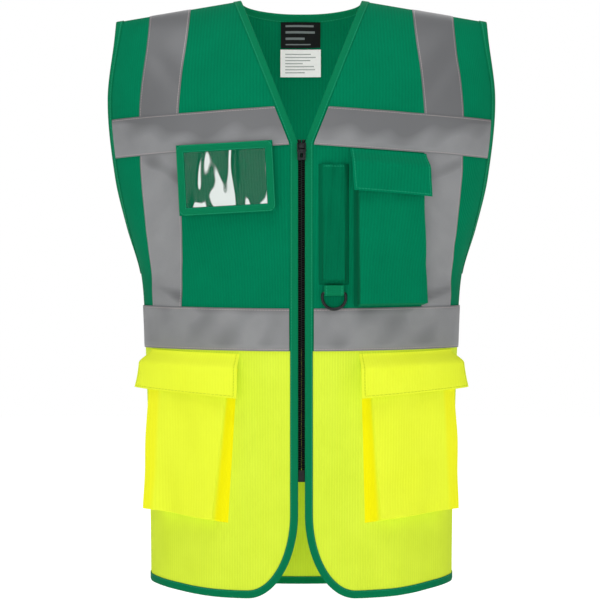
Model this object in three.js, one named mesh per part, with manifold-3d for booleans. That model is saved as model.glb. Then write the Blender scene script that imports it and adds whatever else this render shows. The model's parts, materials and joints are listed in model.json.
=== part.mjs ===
// High visibility vest: a sleeveless two-colour work vest with reflective tapes, a front zip and pockets.
// Millimetres. +X is the wearer's left, +Y the wearer's back, +Z up.
// The origin lies midway between the two high shoulder points, where a hanger or the shoulders bear it.
//
// The cloth lies on one surface, body(side, s, level). side is -1 at the front and +1 at the back,
// s runs from -1 to 1 across it, and level is the drop below the shoulder seam.
import * as THREE from "three";
import { mergeVertices } from "three/addons/utils/BufferGeometryUtils.js";
import Module from "manifold-3d";

const wasm = await Module();
wasm.setup();

// ---- Outline ----
const CHEST_HALF = 192; // half width at the armpits
const SHOULDER_OUT = 29; // shoulder tip, out from the armpit
const ARM_OUT = 37; // widest point of the armhole, out from the armpit
const CHEST_OUT = 28; // armhole edge at chest height, out from the armpit
const WAIST_IN = 5; // waist, in from the armpit
const HEM_IN = 12; // hem, in from the armpit
const NECK_HALF = 73.5; // high shoulder point from the middle
const SHOULDER_DROP = 25; // shoulder tip below the high shoulder point
const BACK_NECK_DROP = 12; // back neckline at its middle
const V_DROP = 174; // point of the V neck
const ARMPIT_DROP = 326;
const HEM_DROP = 706; // front hem at its lowest
const HEM_RISE = 15; // how much higher the hem is at the side seams
const DEPTH_FRONT = 118; // chest, forward of the side seams
const DEPTH_BACK = 112;
const BACK_HOLLOW = 8; // how much flatter the back is at the waist
const SQUARENESS = 2.5; // exponent of the body's oval
const FRONT_ROLL = 172; // drop over which the front rounds off the shoulder; it is plumb below, for the zip
const BACK_ROLL = 120;
const ARMHOLE_CUT = 0.03; // share of the body's oval that the armhole cuts off at each end
const ARMHOLE_CLOSING = 130; // drop over which the armhole closes above the armpit
const ARMHOLE_HALF = 18; // half the armhole's width beyond that cut
const ARMPIT_POWER = 0.7; // how gently the armhole closes at the armpit
const CORNER_WIDE = 58; // rounded lower front corner
const CORNER_TALL = 98;

// ---- Cloth, tapes and binding ----
const CLOTH = 0.9; // thickness of the shell fabric
const TAPE_CLOTH = 0.6; // thickness of a reflective tape
const GAP = 0.3; // clearance between pieces that touch
const LAYER_GAP = 0.8; // between cloth and a tape over it, where both curve
const LABEL_GAP = 1.8; // a label hangs clear of the back
const SEAM_GAP = 0.25; // half the gap between two panels that meet in a seam
const BINDING_WIDE = 8;
const BINDING_GAP = 0.7; // between a panel's edge and the binding folded over it
const BINDING_CLOTH = 0.6;
const TAPE_WIDE = 50;
const CHEST_TAPE_TOP = 129; // drop of the chest tape's upper edge at the middle
const CHEST_TAPE_TALL = 46; // as seen from the front, on the leaning chest
const CHEST_TAPE_SLOPE = 0.068; // how fast the chest tape falls towards the armholes
const WAIST_TAPE_TOP = 368;
const WAIST_TAPE_RISE = 4; // how much higher the waist tape is at the sides
const BRACE_AT_SHOULDER = 157; // middle of a brace tape from the middle of the vest
const BRACE_AT_CHEST = 168;
const BRACE_AT_WAIST = 160;

// ---- Zip ----
const FRONT_EDGE = 5.3; // front panel's edge from the middle, so that its binding's fold is at 4
const TEETH_SLOT = 0.7; // half the slot between the two rows of teeth
const TEETH_WIDE = 3;
const TEETH_THICK = 2.2;
const ZIP_TAPE_WIDE = 13;
const ZIP_TAPE_THICK = 0.5;
const ZIP_END_ABOVE_CORNER = 37; // lower end of the zip above the rounded corner
const STOP_TALL = 3;
const SLIDER_TALL = 11;
const SLIDER_WIDE = 10.5;
const SLIDER_PLATE = 1.3;
const PULL_LONG = 17;
const PULL_WIDE = 9.6;
const PULL_THICK = 1.6;
const ZIP_BOX_TALL = 14;
const ZIP_BOX_WIDE = 7.2;
const PIN_WIDE = 1.6;

// ---- Pockets ----
const POCKET_WALL = 0.9;
const CUT_PAST = 3; // how far a pocket's hollow is cut past its mouth and its back
const FLAP_THICK = 1.4;
const FLAP_TOP_GAP = 2; // flap below the tape it is sewn under
const LOWER_FLAP_GAP = 3; // the same for the lower flaps, at the waist seam
const MOUTH_BELOW_FLAP_TOP = 18;
const PATCH_TALL = 14; // hook and loop patches
const PATCH_THICK = 0.8;
const PATCH_INSET = 0.2; // patch's end from the pocket's, as a share of the pocket's width
const PATCH_DOWN = 0.62; // top of the patches, as a share of the flap's height
const FLAP_TURN = 0.34; // share of the flap's height over which it stands out from the cloth

const CHEST_POCKET = { inner: 61, outer: 144, deep: 13, aboveTape: 2 };
const CHEST_FLAP = { inner: 57, outer: 146, tall: 49 };
const PEN_POCKET = { inner: 20, outer: 55.5, top: 199, tall: 141, deep: 7 };
const LOWER_POCKET = {
  left: { inner: 70, innerLow: 74 },
  right: { inner: 75, innerLow: 86 },
};
const LOWER_SIDE_GAP = 11; // from the side seam
const LOWER_ABOVE_HEM = 87;
const LOWER_DEEP = 13;
const LOWER_SLOPE = 15; // how much higher the pocket's bottom is at its outer end
const FLAP_SLOPE = 5; // the same for the flap's top
const LOWER_FLAP_TALL = 52;
const FLAP_OVERHANG = 2.5; // how far a lower flap reaches past its pocket at each end

// ---- D ring ----
const RING_HALF = 15.5;
const RING_WIRE = 1.75;
const TAB_SIDE_GAP = 0.5; // from the tab's edge to the ring's side
const TAB_CLOTH = 1;
const TAB_LEG = 0.1; // share of the tab's length in each of its two ends

// ---- Identity card holder ----
const HOLDER = { inner: 33, wide: 114, top: 174, tall: 83, tilt: -3 };
const HOLDER_RIM = 9;
const HOLDER_RIM_THICK = 2.2;
const HOLDER_BACK_THICK = 0.8;
const HOLDER_STANDOFF = 3; // holder in front of the cloth at its nearest point
const WINDOW_THICK = 0.6;
const CARD_ROOM = 1; // between the backing and the window

// ---- Labels ----
const SIZE_LABEL = { middle: -1, wide: 48.6, top: 18, tall: 30 };
const CARE_LABEL = { middle: -1, wide: 49.7, top: 50, tall: 33.5 };
const LABEL_THICK = 0.5;

const FRONT = -1;
const BACK = 1;
const LEFT = 1;
const RIGHT = -1;

const vest = new THREE.Group();
const { abs, asin, cos, max, min, PI, sign, sin, sqrt } = Math;
const lerp = THREE.MathUtils.lerp;
const clamp = THREE.MathUtils.clamp;
const smoothstep = THREE.MathUtils.smoothstep;

// ---------------------------------------------------------------- materials

const green = () => new THREE.MeshStandardMaterial({ color: 0x02734c, roughness: 0.8, metalness: 0 });
const yellow = () => new THREE.MeshStandardMaterial({ color: 0xdcf53c, roughness: 0.8, metalness: 0 });
const silver = () => new THREE.MeshStandardMaterial({ color: 0x838485, roughness: 0.45, metalness: 0.1 });
const bindingGreen = () => new THREE.MeshStandardMaterial({ color: 0x09734a, roughness: 0.75, metalness: 0 });
const black = () => new THREE.MeshStandardMaterial({ color: 0x121416, roughness: 0.5, metalness: 0 });
const white = () => new THREE.MeshStandardMaterial({ color: 0xf2f2ee, roughness: 0.7, metalness: 0 });
const clear = () => new THREE.MeshStandardMaterial({ color: 0x2f7a5c, roughness: 0.1, metalness: 0 });

function add(name, geometry, material) {
  const mesh = new THREE.Mesh(geometry, material);
  mesh.name = name;
  vest.add(mesh);
}

// ---------------------------------------------------------------- the body surface

// A smooth curve through [x, y] points, level past its ends: cubic pieces that share their slopes.
function curveThrough(points) {
  const slopes = points.map((_, i) => {
    const before = points[max(i - 1, 0)];
    const after = points[min(i + 1, points.length - 1)];
    return i === 0 || i === points.length - 1 ? 0 : (after[1] - before[1]) / (after[0] - before[0]);
  });
  return (x) => {
    const at = clamp(x, points[0][0], points.at(-1)[0]);
    const i = max(0, points.findIndex((p) => p[0] >= at) - 1);
    const [x0, y0] = points[i];
    const [x1, y1] = points[i + 1];
    const span = x1 - x0;
    const t = (at - x0) / span;
    const blend = t * t * (3 - 2 * t);
    const start = t * (1 - t) * (1 - t) * slopes[i] * span;
    const end = t * t * (1 - t) * slopes[i + 1] * span;
    return lerp(y0, y1, blend) + start - end;
  };
}

const halfWidth = curveThrough([
  [0, CHEST_HALF + SHOULDER_OUT],
  [ARMPIT_DROP - 225, CHEST_HALF + ARM_OUT],
  [ARMPIT_DROP - 119, CHEST_HALF + CHEST_OUT],
  [ARMPIT_DROP - 56, CHEST_HALF + 15],
  [ARMPIT_DROP, CHEST_HALF],
  [ARMPIT_DROP + 68, CHEST_HALF - WAIST_IN],
  [HEM_DROP, CHEST_HALF - HEM_IN],
]);

const backHollow = curveThrough([
  [ARMPIT_DROP - 120, 0],
  [ARMPIT_DROP + 80, BACK_HOLLOW],
  [HEM_DROP, 0],
]);
const depthAt = (side, level) => (side === FRONT ? DEPTH_FRONT : DEPTH_BACK - backHollow(level));

// How far a level still follows the sloping shoulder seam: wholly at the seam, not at all near the armpit.
const seamShare = (level) => 1 - smoothstep(level, 0, ARMPIT_DROP - SHOULDER_DROP);
const seamSlope = SHOULDER_DROP / (CHEST_HALF + SHOULDER_OUT - NECK_HALF);

// Height of the shoulder seam's line: even slopes outside the high shoulder points, and rounded between them.
function seamHeight(x) {
  if (abs(x) > NECK_HALF) {
    return seamSlope * (NECK_HALF - abs(x));
  }
  return (seamSlope * (NECK_HALF ** 2 - x ** 2)) / (2 * NECK_HALF);
}

const widestShare = 0.5 / (0.5 + ARMPIT_POWER);
const ARMHOLE_PEAK = 1 / (widestShare ** 0.5 * (1 - widestShare) ** ARMPIT_POWER);
const round = (drop, roll) => sqrt(1 - (1 - min(drop / roll, 1)) ** 2);

// Half opening of the armhole: it opens like a root at the shoulder and closes more gently at the armpit.
function armholeHalf(level) {
  const share = min(level / ARMPIT_DROP, 1);
  return ARMHOLE_HALF * ARMHOLE_PEAK * share ** 0.5 * (1 - share) ** ARMPIT_POWER;
}

function body(side, s, level) {
  const reach = sin((abs(s) * PI) / 2);
  const x = sign(s) * halfWidth(level) * reach;
  const z = -level + seamHeight(x) * seamShare(level);
  const closing = smoothstep(level, ARMPIT_DROP - ARMHOLE_CLOSING, ARMPIT_DROP);
  const oval = reach * (1 - ARMHOLE_CUT * (1 - closing));
  const bulge = (1 - oval ** SQUARENESS) ** (1 / SQUARENESS);
  const edge = armholeHalf(level);
  const full = depthAt(side, level) * round(level, side === FRONT ? FRONT_ROLL : BACK_ROLL);
  const y = edge + max(full - edge, 0) * bulge;
  return new THREE.Vector3(x, side * y, z);
}

// The outward normal, from small steps that stay on the surface.
function normalAt(side, s, level) {
  const step = 0.004;
  const drop = 0.5;
  const across = body(side, min(s + step, 1), level).sub(body(side, max(s - step, -1), level));
  const down = body(side, s, level + drop).sub(body(side, s, max(level - drop, 0)));
  return across.cross(down).normalize().multiplyScalar(side);
}

// The point of the surface seen from the front at (x, z), as { side, s, level }.
function seenAt(side, x, z) {
  let level = -z;
  for (let i = 0; i < 12; i += 1) {
    level = max(0, -z + seamHeight(x) * seamShare(level));
  }
  const reach = clamp(x / halfWidth(level), -1, 1);
  return { side, s: (asin(reach) * 2) / PI, level };
}

// Search from 0 to most for the step whose end lies a distance away, as the crow flies.
function stepTo(distance, most, endOf) {
  const start = endOf(0);
  let near = 0;
  let far = most;
  for (let i = 0; i < 30; i += 1) {
    const middle = (near + far) / 2;
    if (start.distanceTo(endOf(middle)) < distance) {
      near = middle;
    } else {
      far = middle;
    }
  }
  return near;
}

// The place a distance away over the surface at one level, towards larger s when it is positive.
function walkAcross(at, distance) {
  const way = sign(distance);
  const most = way > 0 ? 1 - at.s : 1 + at.s;
  const step = stepTo(abs(distance), most, (t) => body(at.side, at.s + way * t, at.level));
  return { ...at, s: at.s + way * step };
}

// The place a distance further down the surface.
function walkDown(at, distance) {
  const step = stepTo(distance, ARMPIT_DROP, (t) => body(at.side, at.s, at.level + t));
  return { ...at, level: at.level + step };
}

const between = (a, b, t) => ({ side: a.side, s: lerp(a.s, b.s, t), level: lerp(a.level, b.level, t) });

function off(at, height) {
  return body(at.side, at.s, at.level).addScaledVector(normalAt(at.side, at.s, at.level), height);
}

// ---------------------------------------------------------------- sheets

// A closed block of nu by nv by nw cells. place moves each of its points (u, v, w), all from 0 to 1.
function bentBox(nu, nv, nw, place) {
  const box = new THREE.BoxGeometry(1, 1, 1, nu, nv, nw);
  box.deleteAttribute("normal");
  box.deleteAttribute("uv");
  const shape = mergeVertices(box, 1e-5);
  const points = shape.attributes.position;
  for (let i = 0; i < points.count; i += 1) {
    const p = place(points.getX(i) + 0.5, points.getY(i) + 0.5, points.getZ(i) + 0.5);
    points.setXYZ(i, p.x, p.y, p.z);
  }
  if (signedVolume(shape) < 0) {
    turnInsideOut(shape);
  }
  return shape;
}

function signedVolume(shape) {
  const points = shape.attributes.position;
  const corner = [0, 1, 2].map(() => new THREE.Vector3());
  let volume = 0;
  for (let i = 0; i < shape.index.count; i += 3) {
    corner.forEach((c, k) => c.fromBufferAttribute(points, shape.index.getX(i + k)));
    volume += corner[0].dot(corner[1].cross(corner[2])) / 6;
  }
  return volume;
}

function turnInsideOut(shape) {
  const order = shape.index.array;
  for (let i = 0; i < order.length; i += 3) {
    [order[i], order[i + 1]] = [order[i + 1], order[i]];
  }
}

// Keep a piece on its own side of the shoulder and side seams.
function keepOffSeam(p, side) {
  p.y = side * max(side * p.y, SEAM_GAP);
  return p;
}

// A sheet over the surface. at(u, v) gives its places, low and high the heights of its two faces.
function sheet(nu, nv, at, low, high) {
  return bentBox(nu, nv, 1, (u, v, w) => {
    const place = at(u, v);
    const p = off(place, lerp(low, high, w));
    return place.overSeam ? p : keepOffSeam(p, place.side);
  });
}

// A strip folded over an edge. Each station is [place on the edge, place at the strip's inner limit].
function binding(stations) {
  const near = CLOTH / 2 + BINDING_GAP;
  return bentBox(stations.length - 1, 3, 1, (t, fold, w) => {
    const [at, limit] = stations[Math.round(t * (stations.length - 1))];
    const spread = lerp(near, near + BINDING_CLOTH, w);
    const past = lerp(BINDING_GAP, BINDING_GAP + BINDING_CLOTH, w);
    const face = fold < 0.5 ? 1 : -1;
    let p = off(limit, face * spread);
    if (fold > 0.1 && fold < 0.9) {
      const outward = body(at.side, at.s, at.level).sub(body(limit.side, limit.s, limit.level)).normalize();
      p = off(at, face * spread).addScaledVector(outward, past);
    }
    return at.overSeam ? p : keepOffSeam(p, at.side);
  });
}

const evenly = (count, make) => Array.from({ length: count + 1 }, (_, i) => make(i / count));
const mirrored = (at, hand) => ({ ...at, s: at.s * hand });
const mirroredStations = (stations, hand) => stations.map((pair) => pair.map((at) => mirrored(at, hand)));

// ---------------------------------------------------------------- lines of the pattern, for s > 0

const neckLine = (t) => ({ x: lerp(NECK_HALF, FRONT_EDGE, t), z: -V_DROP * t });
const chestTapeTop = (x) => -CHEST_TAPE_TOP - CHEST_TAPE_SLOPE * abs(x);
const waistTapeTop = (s) => -WAIST_TAPE_TOP + WAIST_TAPE_RISE * sin((s * PI) / 2) ** 2;
const waistSeam = (s) => waistTapeTop(s) - TAPE_WIDE;
const hemEnd = halfWidth(HEM_DROP);
const cornerEnd = FRONT_EDGE + CORNER_WIDE;
const cornerTop = -HEM_DROP + CORNER_TALL;
const frontHem = (x) => -HEM_DROP + HEM_RISE * max(0, (x - cornerEnd) / (hemEnd - cornerEnd)) ** 2;
const backHem = (s) => -HEM_DROP + HEM_RISE * sin((s * PI) / 2) ** 2;
const backNeck = (x) => -BACK_NECK_DROP * sqrt(max(0, 1 - (x / NECK_HALF) ** 2));

// The armhole edge or side seam at a height.
function edgeAt(side, z) {
  let level = -z;
  for (let i = 0; i < 12; i += 1) {
    level = max(0, -z + seamHeight(halfWidth(level)) * seamShare(level));
  }
  return { side, s: 1, level };
}

// Place number i of a row between two edges, with one more line a binding's width inside each bound edge.
function inRow(inner, outer, i, columns) {
  if (i === 0) {
    return inner;
  }
  if (i === columns) {
    return outer;
  }
  const first = walkAcross(inner, BINDING_WIDE);
  const last = walkAcross(outer, -BINDING_WIDE);
  return between(first, last, (i - 1) / (columns - 2));
}

// A front panel between the neckline or front edge and the armhole. Rows are pairs of edge places.
function frontPanel(rows, columns, hand) {
  const place = (u, v) => {
    const [inner, outer] = rows[Math.round((1 - v) * (rows.length - 1))];
    return mirrored(inRow(inner, outer, Math.round(u * columns), columns), hand);
  };
  return sheet(columns, rows.length - 1, place, -CLOTH / 2, CLOTH / 2);
}

const innerStations = (rows) => rows.map(([inner]) => [inner, walkAcross(inner, BINDING_WIDE)]);
const outerStations = (rows) => rows.map(([, outer]) => [outer, walkAcross(outer, -BINDING_WIDE)]);

// ---------------------------------------------------------------- front shoulder, above the chest tape

const SHOULDER_ROWS = 8;
const FRONT_COLUMNS = 9;
const splitShare = (CHEST_TAPE_TOP + CHEST_TAPE_SLOPE * neckLine(CHEST_TAPE_TOP / V_DROP).x) / V_DROP;
const splitEdge = edgeAt(FRONT, chestTapeTop(halfWidth(CHEST_TAPE_TOP)));

// Rows are close together near the seam, where the cloth turns over the shoulder.
const shoulderRows = evenly(SHOULDER_ROWS, (v) => {
  const line = neckLine(splitShare * v ** 2);
  return [seenAt(FRONT, line.x, line.z), { side: FRONT, s: 1, level: splitEdge.level * v ** 2 }];
});

// ---------------------------------------------------------------- front upper, down to the waist seam

const ROWS_TO_V = 2;
const ROWS_TO_ARMPIT = 8;
const ROWS_TO_WAIST = 11;
const splitTop = neckLine(splitShare).z - GAP;
const splitLevel = splitEdge.level + GAP;

function upperRow(j) {
  const toV = j / ROWS_TO_V;
  const toWaist = (j - ROWS_TO_V) / (ROWS_TO_WAIST - ROWS_TO_V);
  const z = j < ROWS_TO_V ? lerp(splitTop, -V_DROP, toV) : lerp(-V_DROP, waistSeam(0) + SEAM_GAP, toWaist);
  const x = z > -V_DROP ? neckLine(-z / V_DROP).x : FRONT_EDGE;
  const toArmpit = j / ROWS_TO_ARMPIT;
  const below = (j - ROWS_TO_ARMPIT) / (ROWS_TO_WAIST - ROWS_TO_ARMPIT);
  const armhole = lerp(splitLevel, ARMPIT_DROP, toArmpit);
  const level = j < ROWS_TO_ARMPIT ? armhole : lerp(ARMPIT_DROP, -waistSeam(1) - SEAM_GAP, below);
  return [seenAt(FRONT, x, z), { side: FRONT, s: 1, level }];
}
const upperRows = evenly(ROWS_TO_WAIST, (v) => upperRow(Math.round(v * ROWS_TO_WAIST)));

// -------------------------------------------------------------- front lower, from the waist seam to the hem

const LOWER_ROWS = 9;
const LOWER_COLUMNS = 11;
const ABOVE_CORNER = 0.6; // share of the rows above the rounded corner
const CORNER_PART = 0.25; // share of the columns that the rest of the corner takes
const BESIDE_CORNER = 0.03; // stations close to the middle of the corner

// The rounded corner: turn runs from 0, where it leaves the front edge, to 1, where it joins the hem.
function corner(turn, inset) {
  const angle = (turn * PI) / 2;
  const x = cornerEnd - (CORNER_WIDE - inset) * cos(angle);
  return seenAt(FRONT, x, cornerTop - (CORNER_TALL - inset) * sin(angle));
}

// The front edge down to the middle of the corner, t from 0 to 1.
function lowerInner(t, inset) {
  if (t > ABOVE_CORNER) {
    return corner((0.5 * (t - ABOVE_CORNER)) / (1 - ABOVE_CORNER), inset);
  }
  return seenAt(FRONT, FRONT_EDGE + inset, lerp(waistSeam(0) - SEAM_GAP, cornerTop, t / ABOVE_CORNER));
}

// The rest of the corner and the hem out to the side seam, t from 0 to 1.
function lowerHem(t, inset) {
  if (t < CORNER_PART) {
    return corner(0.5 + (0.5 * t) / CORNER_PART, inset);
  }
  const start = asin(cornerEnd / hemEnd);
  const x = hemEnd * sin(lerp(start, PI / 2, (t - CORNER_PART) / (1 - CORNER_PART)));
  return seenAt(FRONT, x, frontHem(x) + inset);
}

// A place inside four edges: the weighted sum of the places on them.
function lowerPlace(u, v) {
  const topS = lerp(lowerInner(0, BINDING_WIDE).s, 1, u);
  const top = { s: topS, level: -waistSeam(topS) + SEAM_GAP };
  const topStart = lowerInner(0, BINDING_WIDE);
  const topEnd = { s: 1, level: -waistSeam(1) + SEAM_GAP };
  const bottom = lowerHem(u, BINDING_WIDE);
  const bottomStart = lowerHem(0, BINDING_WIDE);
  const bottomEnd = lowerHem(1, BINDING_WIDE);
  const inner = lowerInner(v, BINDING_WIDE);
  const outer = { s: 1, level: lerp(topEnd.level, bottomEnd.level, v) };
  const blend = (key) =>
    lerp(top[key], bottom[key], v) +
    lerp(inner[key], outer[key], u) -
    lerp(lerp(topStart[key], topEnd[key], u), lerp(bottomStart[key], bottomEnd[key], u), v);
  return { side: FRONT, s: blend("s"), level: blend("level") };
}

function lowerGrid(i, j) {
  const u = max(0, i - 1) / (LOWER_COLUMNS - 1);
  const v = min(1, j / (LOWER_ROWS - 1));
  if (i === 0) {
    return j === LOWER_ROWS ? lowerInner(1, 0) : lowerInner(min(v, 1 - BESIDE_CORNER), 0);
  }
  return j === LOWER_ROWS ? lowerHem(max(u, BESIDE_CORNER), 0) : lowerPlace(u, v);
}

function frontLower(hand) {
  const place = (u, v) => {
    const at = lowerGrid(Math.round(u * LOWER_COLUMNS), Math.round((1 - v) * LOWER_ROWS));
    return mirrored(at, hand);
  };
  return sheet(LOWER_COLUMNS, LOWER_ROWS, place, -CLOTH / 2, CLOTH / 2);
}

// The front binding runs down the V, the front edge and round the corner along the hem.
function frontBindingStations() {
  const pair = (edge, t) => [edge(t, 0), edge(t, BINDING_WIDE)];
  const down = evenly(LOWER_ROWS - 1, (t) => pair(lowerInner, min(t, 1 - BESIDE_CORNER))).slice(1);
  const along = evenly(LOWER_COLUMNS - 1, (t) => pair(lowerHem, max(t, BESIDE_CORNER)));
  return [...innerStations(upperRows), ...down, pair(lowerInner, 1), ...along];
}

// ---------------------------------------------------------------- back

const BACK_COLUMNS = 24;
const NECK_COLUMNS = 7; // columns from the middle to the high shoulder point, on each half
const ROLL_ROWS = 10; // rows over the shoulder
const BACK_ROWS_TO_ARMPIT = 19;
const BACK_ROWS = 22;
const YOKE_ROWS = 9; // rows of the back above the seam of the yoke
const rollEnd = splitEdge.level;

const insetShare = (level) => walkAcross({ side: BACK, s: 1, level }, -BINDING_WIDE).s;

// Angle round the neckline at column k: closer together towards the shoulder, where the cloth turns over.
const neckTurn = (k) => (1 - (1 - k / NECK_COLUMNS) ** 2) * (PI / 2);

// Upper end of column k, counted from the middle: the neckline, then the shoulder seam.
function backTop(k) {
  const shoulderStart = (asin(NECK_HALF / halfWidth(0)) * 2) / PI;
  if (abs(k) <= NECK_COLUMNS) {
    const x = NECK_HALF * sin(neckTurn(abs(k)));
    return seenAt(BACK, sign(k) * x, backNeck(x));
  }
  const share = (abs(k) - NECK_COLUMNS) / (BACK_COLUMNS / 2 - 1 - NECK_COLUMNS);
  const s = share > 1 ? 1 : lerp(shoulderStart, insetShare(0), share);
  return { side: BACK, s: sign(k) * s, level: 0 };
}

// Level of row j at the armhole edge.
function backLevel(j) {
  if (j <= ROLL_ROWS) {
    return rollEnd * (j / ROLL_ROWS) ** 2;
  }
  if (j <= BACK_ROWS_TO_ARMPIT) {
    return lerp(rollEnd, ARMPIT_DROP, (j - ROLL_ROWS) / (BACK_ROWS_TO_ARMPIT - ROLL_ROWS));
  }
  const share = (j - BACK_ROWS_TO_ARMPIT) / (BACK_ROWS - BACK_ROWS_TO_ARMPIT);
  return lerp(ARMPIT_DROP, -waistSeam(1) - SEAM_GAP, share);
}

// Place on the upper back at row j, moved down by a distance.
function backUpperPlace(u, j, moved) {
  const half = BACK_COLUMNS / 2;
  const k = Math.round(u * BACK_COLUMNS) - half;
  const edgeLevel = backLevel(j) + moved;
  const top = backTop(k);
  const down = edgeLevel / backLevel(BACK_ROWS);
  const inset = insetShare(edgeLevel);
  const even = (k / (half - 1)) * inset;
  const edge = sign(k) * (abs(k) === half ? 1 : inset);
  const s = abs(k) < half - 1 ? lerp(top.s, even, smoothstep(down, 0, 0.5)) : edge;
  return { side: BACK, s, level: lerp(top.level, -waistSeam(s) - SEAM_GAP, down) };
}

// The upper back from row `first` down to row `last`; it keeps off the yoke seam at that end.
function backRows(first, last) {
  const place = (u, v) => {
    const j = last - Math.round(v * (last - first));
    const seamSide = first === YOKE_ROWS ? SEAM_GAP : -SEAM_GAP;
    return backUpperPlace(u, j, j === YOKE_ROWS ? seamSide : 0);
  };
  return sheet(BACK_COLUMNS, last - first, place, -CLOTH / 2, CLOTH / 2);
}

function backLowerPlace(u, v) {
  const s = 2 * u - 1;
  return { side: BACK, s, level: lerp(-backHem(s), -waistSeam(s) + SEAM_GAP, v) };
}

// The binding's inner limit lies straight down from the neckline's middle and straight out from its ends.
const neckStations = evenly(2 * NECK_COLUMNS, (t) => {
  const k = Math.round(2 * NECK_COLUMNS * t) - NECK_COLUMNS;
  const edge = backTop(k);
  const turn = sign(k) * neckTurn(abs(k));
  const beside = k === 0 ? edge : walkAcross(edge, BINDING_WIDE * sin(turn));
  return [edge, walkDown(beside, BINDING_WIDE * cos(turn))];
});

const hemStations = evenly(BACK_COLUMNS, (t) => {
  const s = 2 * t - 1;
  const edge = { side: BACK, s, level: -backHem(s) };
  return [edge, { ...edge, level: edge.level - BINDING_WIDE }];
});

// The armhole binding of the back goes on over the shoulder to the chest tape.
function armholeStations() {
  const levels = Array.from({ length: BACK_ROWS_TO_ARMPIT + 1 }, (_, j) => backLevel(j));
  const backEdge = levels.reverse().map((level) => ({ side: BACK, s: 1, level, overSeam: level < 1 }));
  const pairs = backEdge.map((edge) => [edge, walkAcross(edge, -BINDING_WIDE)]);
  return [...pairs, ...outerStations(shoulderRows).slice(1)];
}

// ---------------------------------------------------------------- reflective tapes

const BRACE_LOW = CLOTH / 2 + LAYER_GAP;
const BAND_LOW = BRACE_LOW + TAPE_CLOTH + LAYER_GAP; // the bands lie over the braces
const PAST_BINDING = BINDING_WIDE + 1.2; // where a tape ends beside a binding
const TAPE_COLUMNS = 14;
const BRACE_ROWS = 14;
const BRACE_COLUMNS = 4;

const bandSheet = (at, columns, rows) => sheet(columns, rows, at, BAND_LOW, BAND_LOW + TAPE_CLOTH);

function chestTape(side, hand) {
  const columns = side === BACK ? 2 * TAPE_COLUMNS : TAPE_COLUMNS;
  return bandSheet(
    (u, v) => {
      const drop = GAP + CHEST_TAPE_TALL * (1 - v);
      const end = walkAcross(edgeAt(side, chestTapeTop(halfWidth(CHEST_TAPE_TOP)) - drop), -PAST_BINDING);
      const z = chestTapeTop(FRONT_EDGE) - drop;
      const neckX = neckLine(min(1, -z / V_DROP)).x;
      const start = side === BACK ? -end.s : walkAcross(seenAt(FRONT, neckX, z), PAST_BINDING).s;
      const s = lerp(start, end.s, u);
      const x = halfWidth(end.level) * sin((s * PI) / 2);
      const top = chestTapeTop(side === BACK ? halfWidth(CHEST_TAPE_TOP) : x); // level across the back
      return mirrored(seenAt(side, x, top - drop), hand);
    },
    columns,
    2,
  );
}

function waistTape(side, hand) {
  const inner = side === BACK ? -1 : walkAcross(seenAt(FRONT, FRONT_EDGE, -WAIST_TAPE_TOP), PAST_BINDING).s;
  return bandSheet(
    (u, v) => {
      const s = lerp(inner, 1, u);
      return mirrored({ side, s, level: -waistSeam(s) - TAPE_WIDE * v }, hand);
    },
    side === BACK ? 2 * TAPE_COLUMNS : TAPE_COLUMNS,
    1,
  );
}

const braceMiddle = curveThrough([
  [0, BRACE_AT_SHOULDER],
  [CHEST_TAPE_TOP, BRACE_AT_CHEST],
  [WAIST_TAPE_TOP, BRACE_AT_WAIST],
]);

function bracePlace(side, level, across, hand) {
  const middle = { side, s: (asin(braceMiddle(level) / halfWidth(level)) * 2) / PI, level };
  return mirrored(walkAcross(middle, (across - 0.5) * TAPE_WIDE), hand);
}

const braceEnd = -waistTapeTop(1) - 1.5;
const braceSplit = splitEdge.level;

// Rows of the brace over the shoulder, from the back's waist tape to the front's chest tape.
const braceRows = [
  ...Array.from({ length: BACK_ROWS + 1 }, (_, j) => [BACK, min(backLevel(j), braceEnd)]).reverse(),
  ...shoulderRows.slice(1).map(([, outer]) => [FRONT, outer.level]),
].filter(([, level], i, rows) => i === 0 || level !== rows[i - 1][1]);

function braceOver(hand) {
  const last = braceRows.length - 1;
  const place = (u, v) => {
    const [side, level] = braceRows[Math.round(v * last)];
    return { ...bracePlace(side, level, u, hand), overSeam: level === 0 };
  };
  return sheet(BRACE_COLUMNS, last, place, BRACE_LOW, BRACE_LOW + TAPE_CLOTH);
}

function braceFront(hand) {
  return sheet(
    BRACE_COLUMNS,
    BRACE_ROWS,
    (u, v) => bracePlace(FRONT, lerp(braceEnd, braceSplit + 2 * GAP, v), u, hand),
    BRACE_LOW,
    BRACE_LOW + TAPE_CLOTH,
  );
}

// ---------------------------------------------------------------- zip

const BINDING_FACE = CLOTH / 2 + BINDING_GAP + BINDING_CLOTH; // outer face, from the middle of the cloth
const frontPlane = -DEPTH_FRONT;
const ZIP_TOP = -V_DROP + STOP_TALL + 0.8;
const zipBottom = cornerTop + ZIP_END_ABOVE_CORNER;
const teethBottom = zipBottom + ZIP_BOX_TALL + 1;
const zipTapeHigh = -BINDING_FACE - GAP;
const teethHigh = zipTapeHigh + 0.8;
const teethOuter = TEETH_SLOT + TEETH_WIDE;

// An upright block in front of the middle, from its limits across, in height above the cloth, and in z.
function block(left, right, low, high, bottom, top) {
  const box = new THREE.BoxGeometry(right - left, high - low, top - bottom);
  box.translate((left + right) / 2, frontPlane - (low + high) / 2, (bottom + top) / 2);
  box.deleteAttribute("normal");
  box.deleteAttribute("uv");
  return mergeVertices(box, 1e-5);
}

function handed(hand, near, far) {
  return hand === LEFT ? [near, far] : [-far, -near];
}

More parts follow.
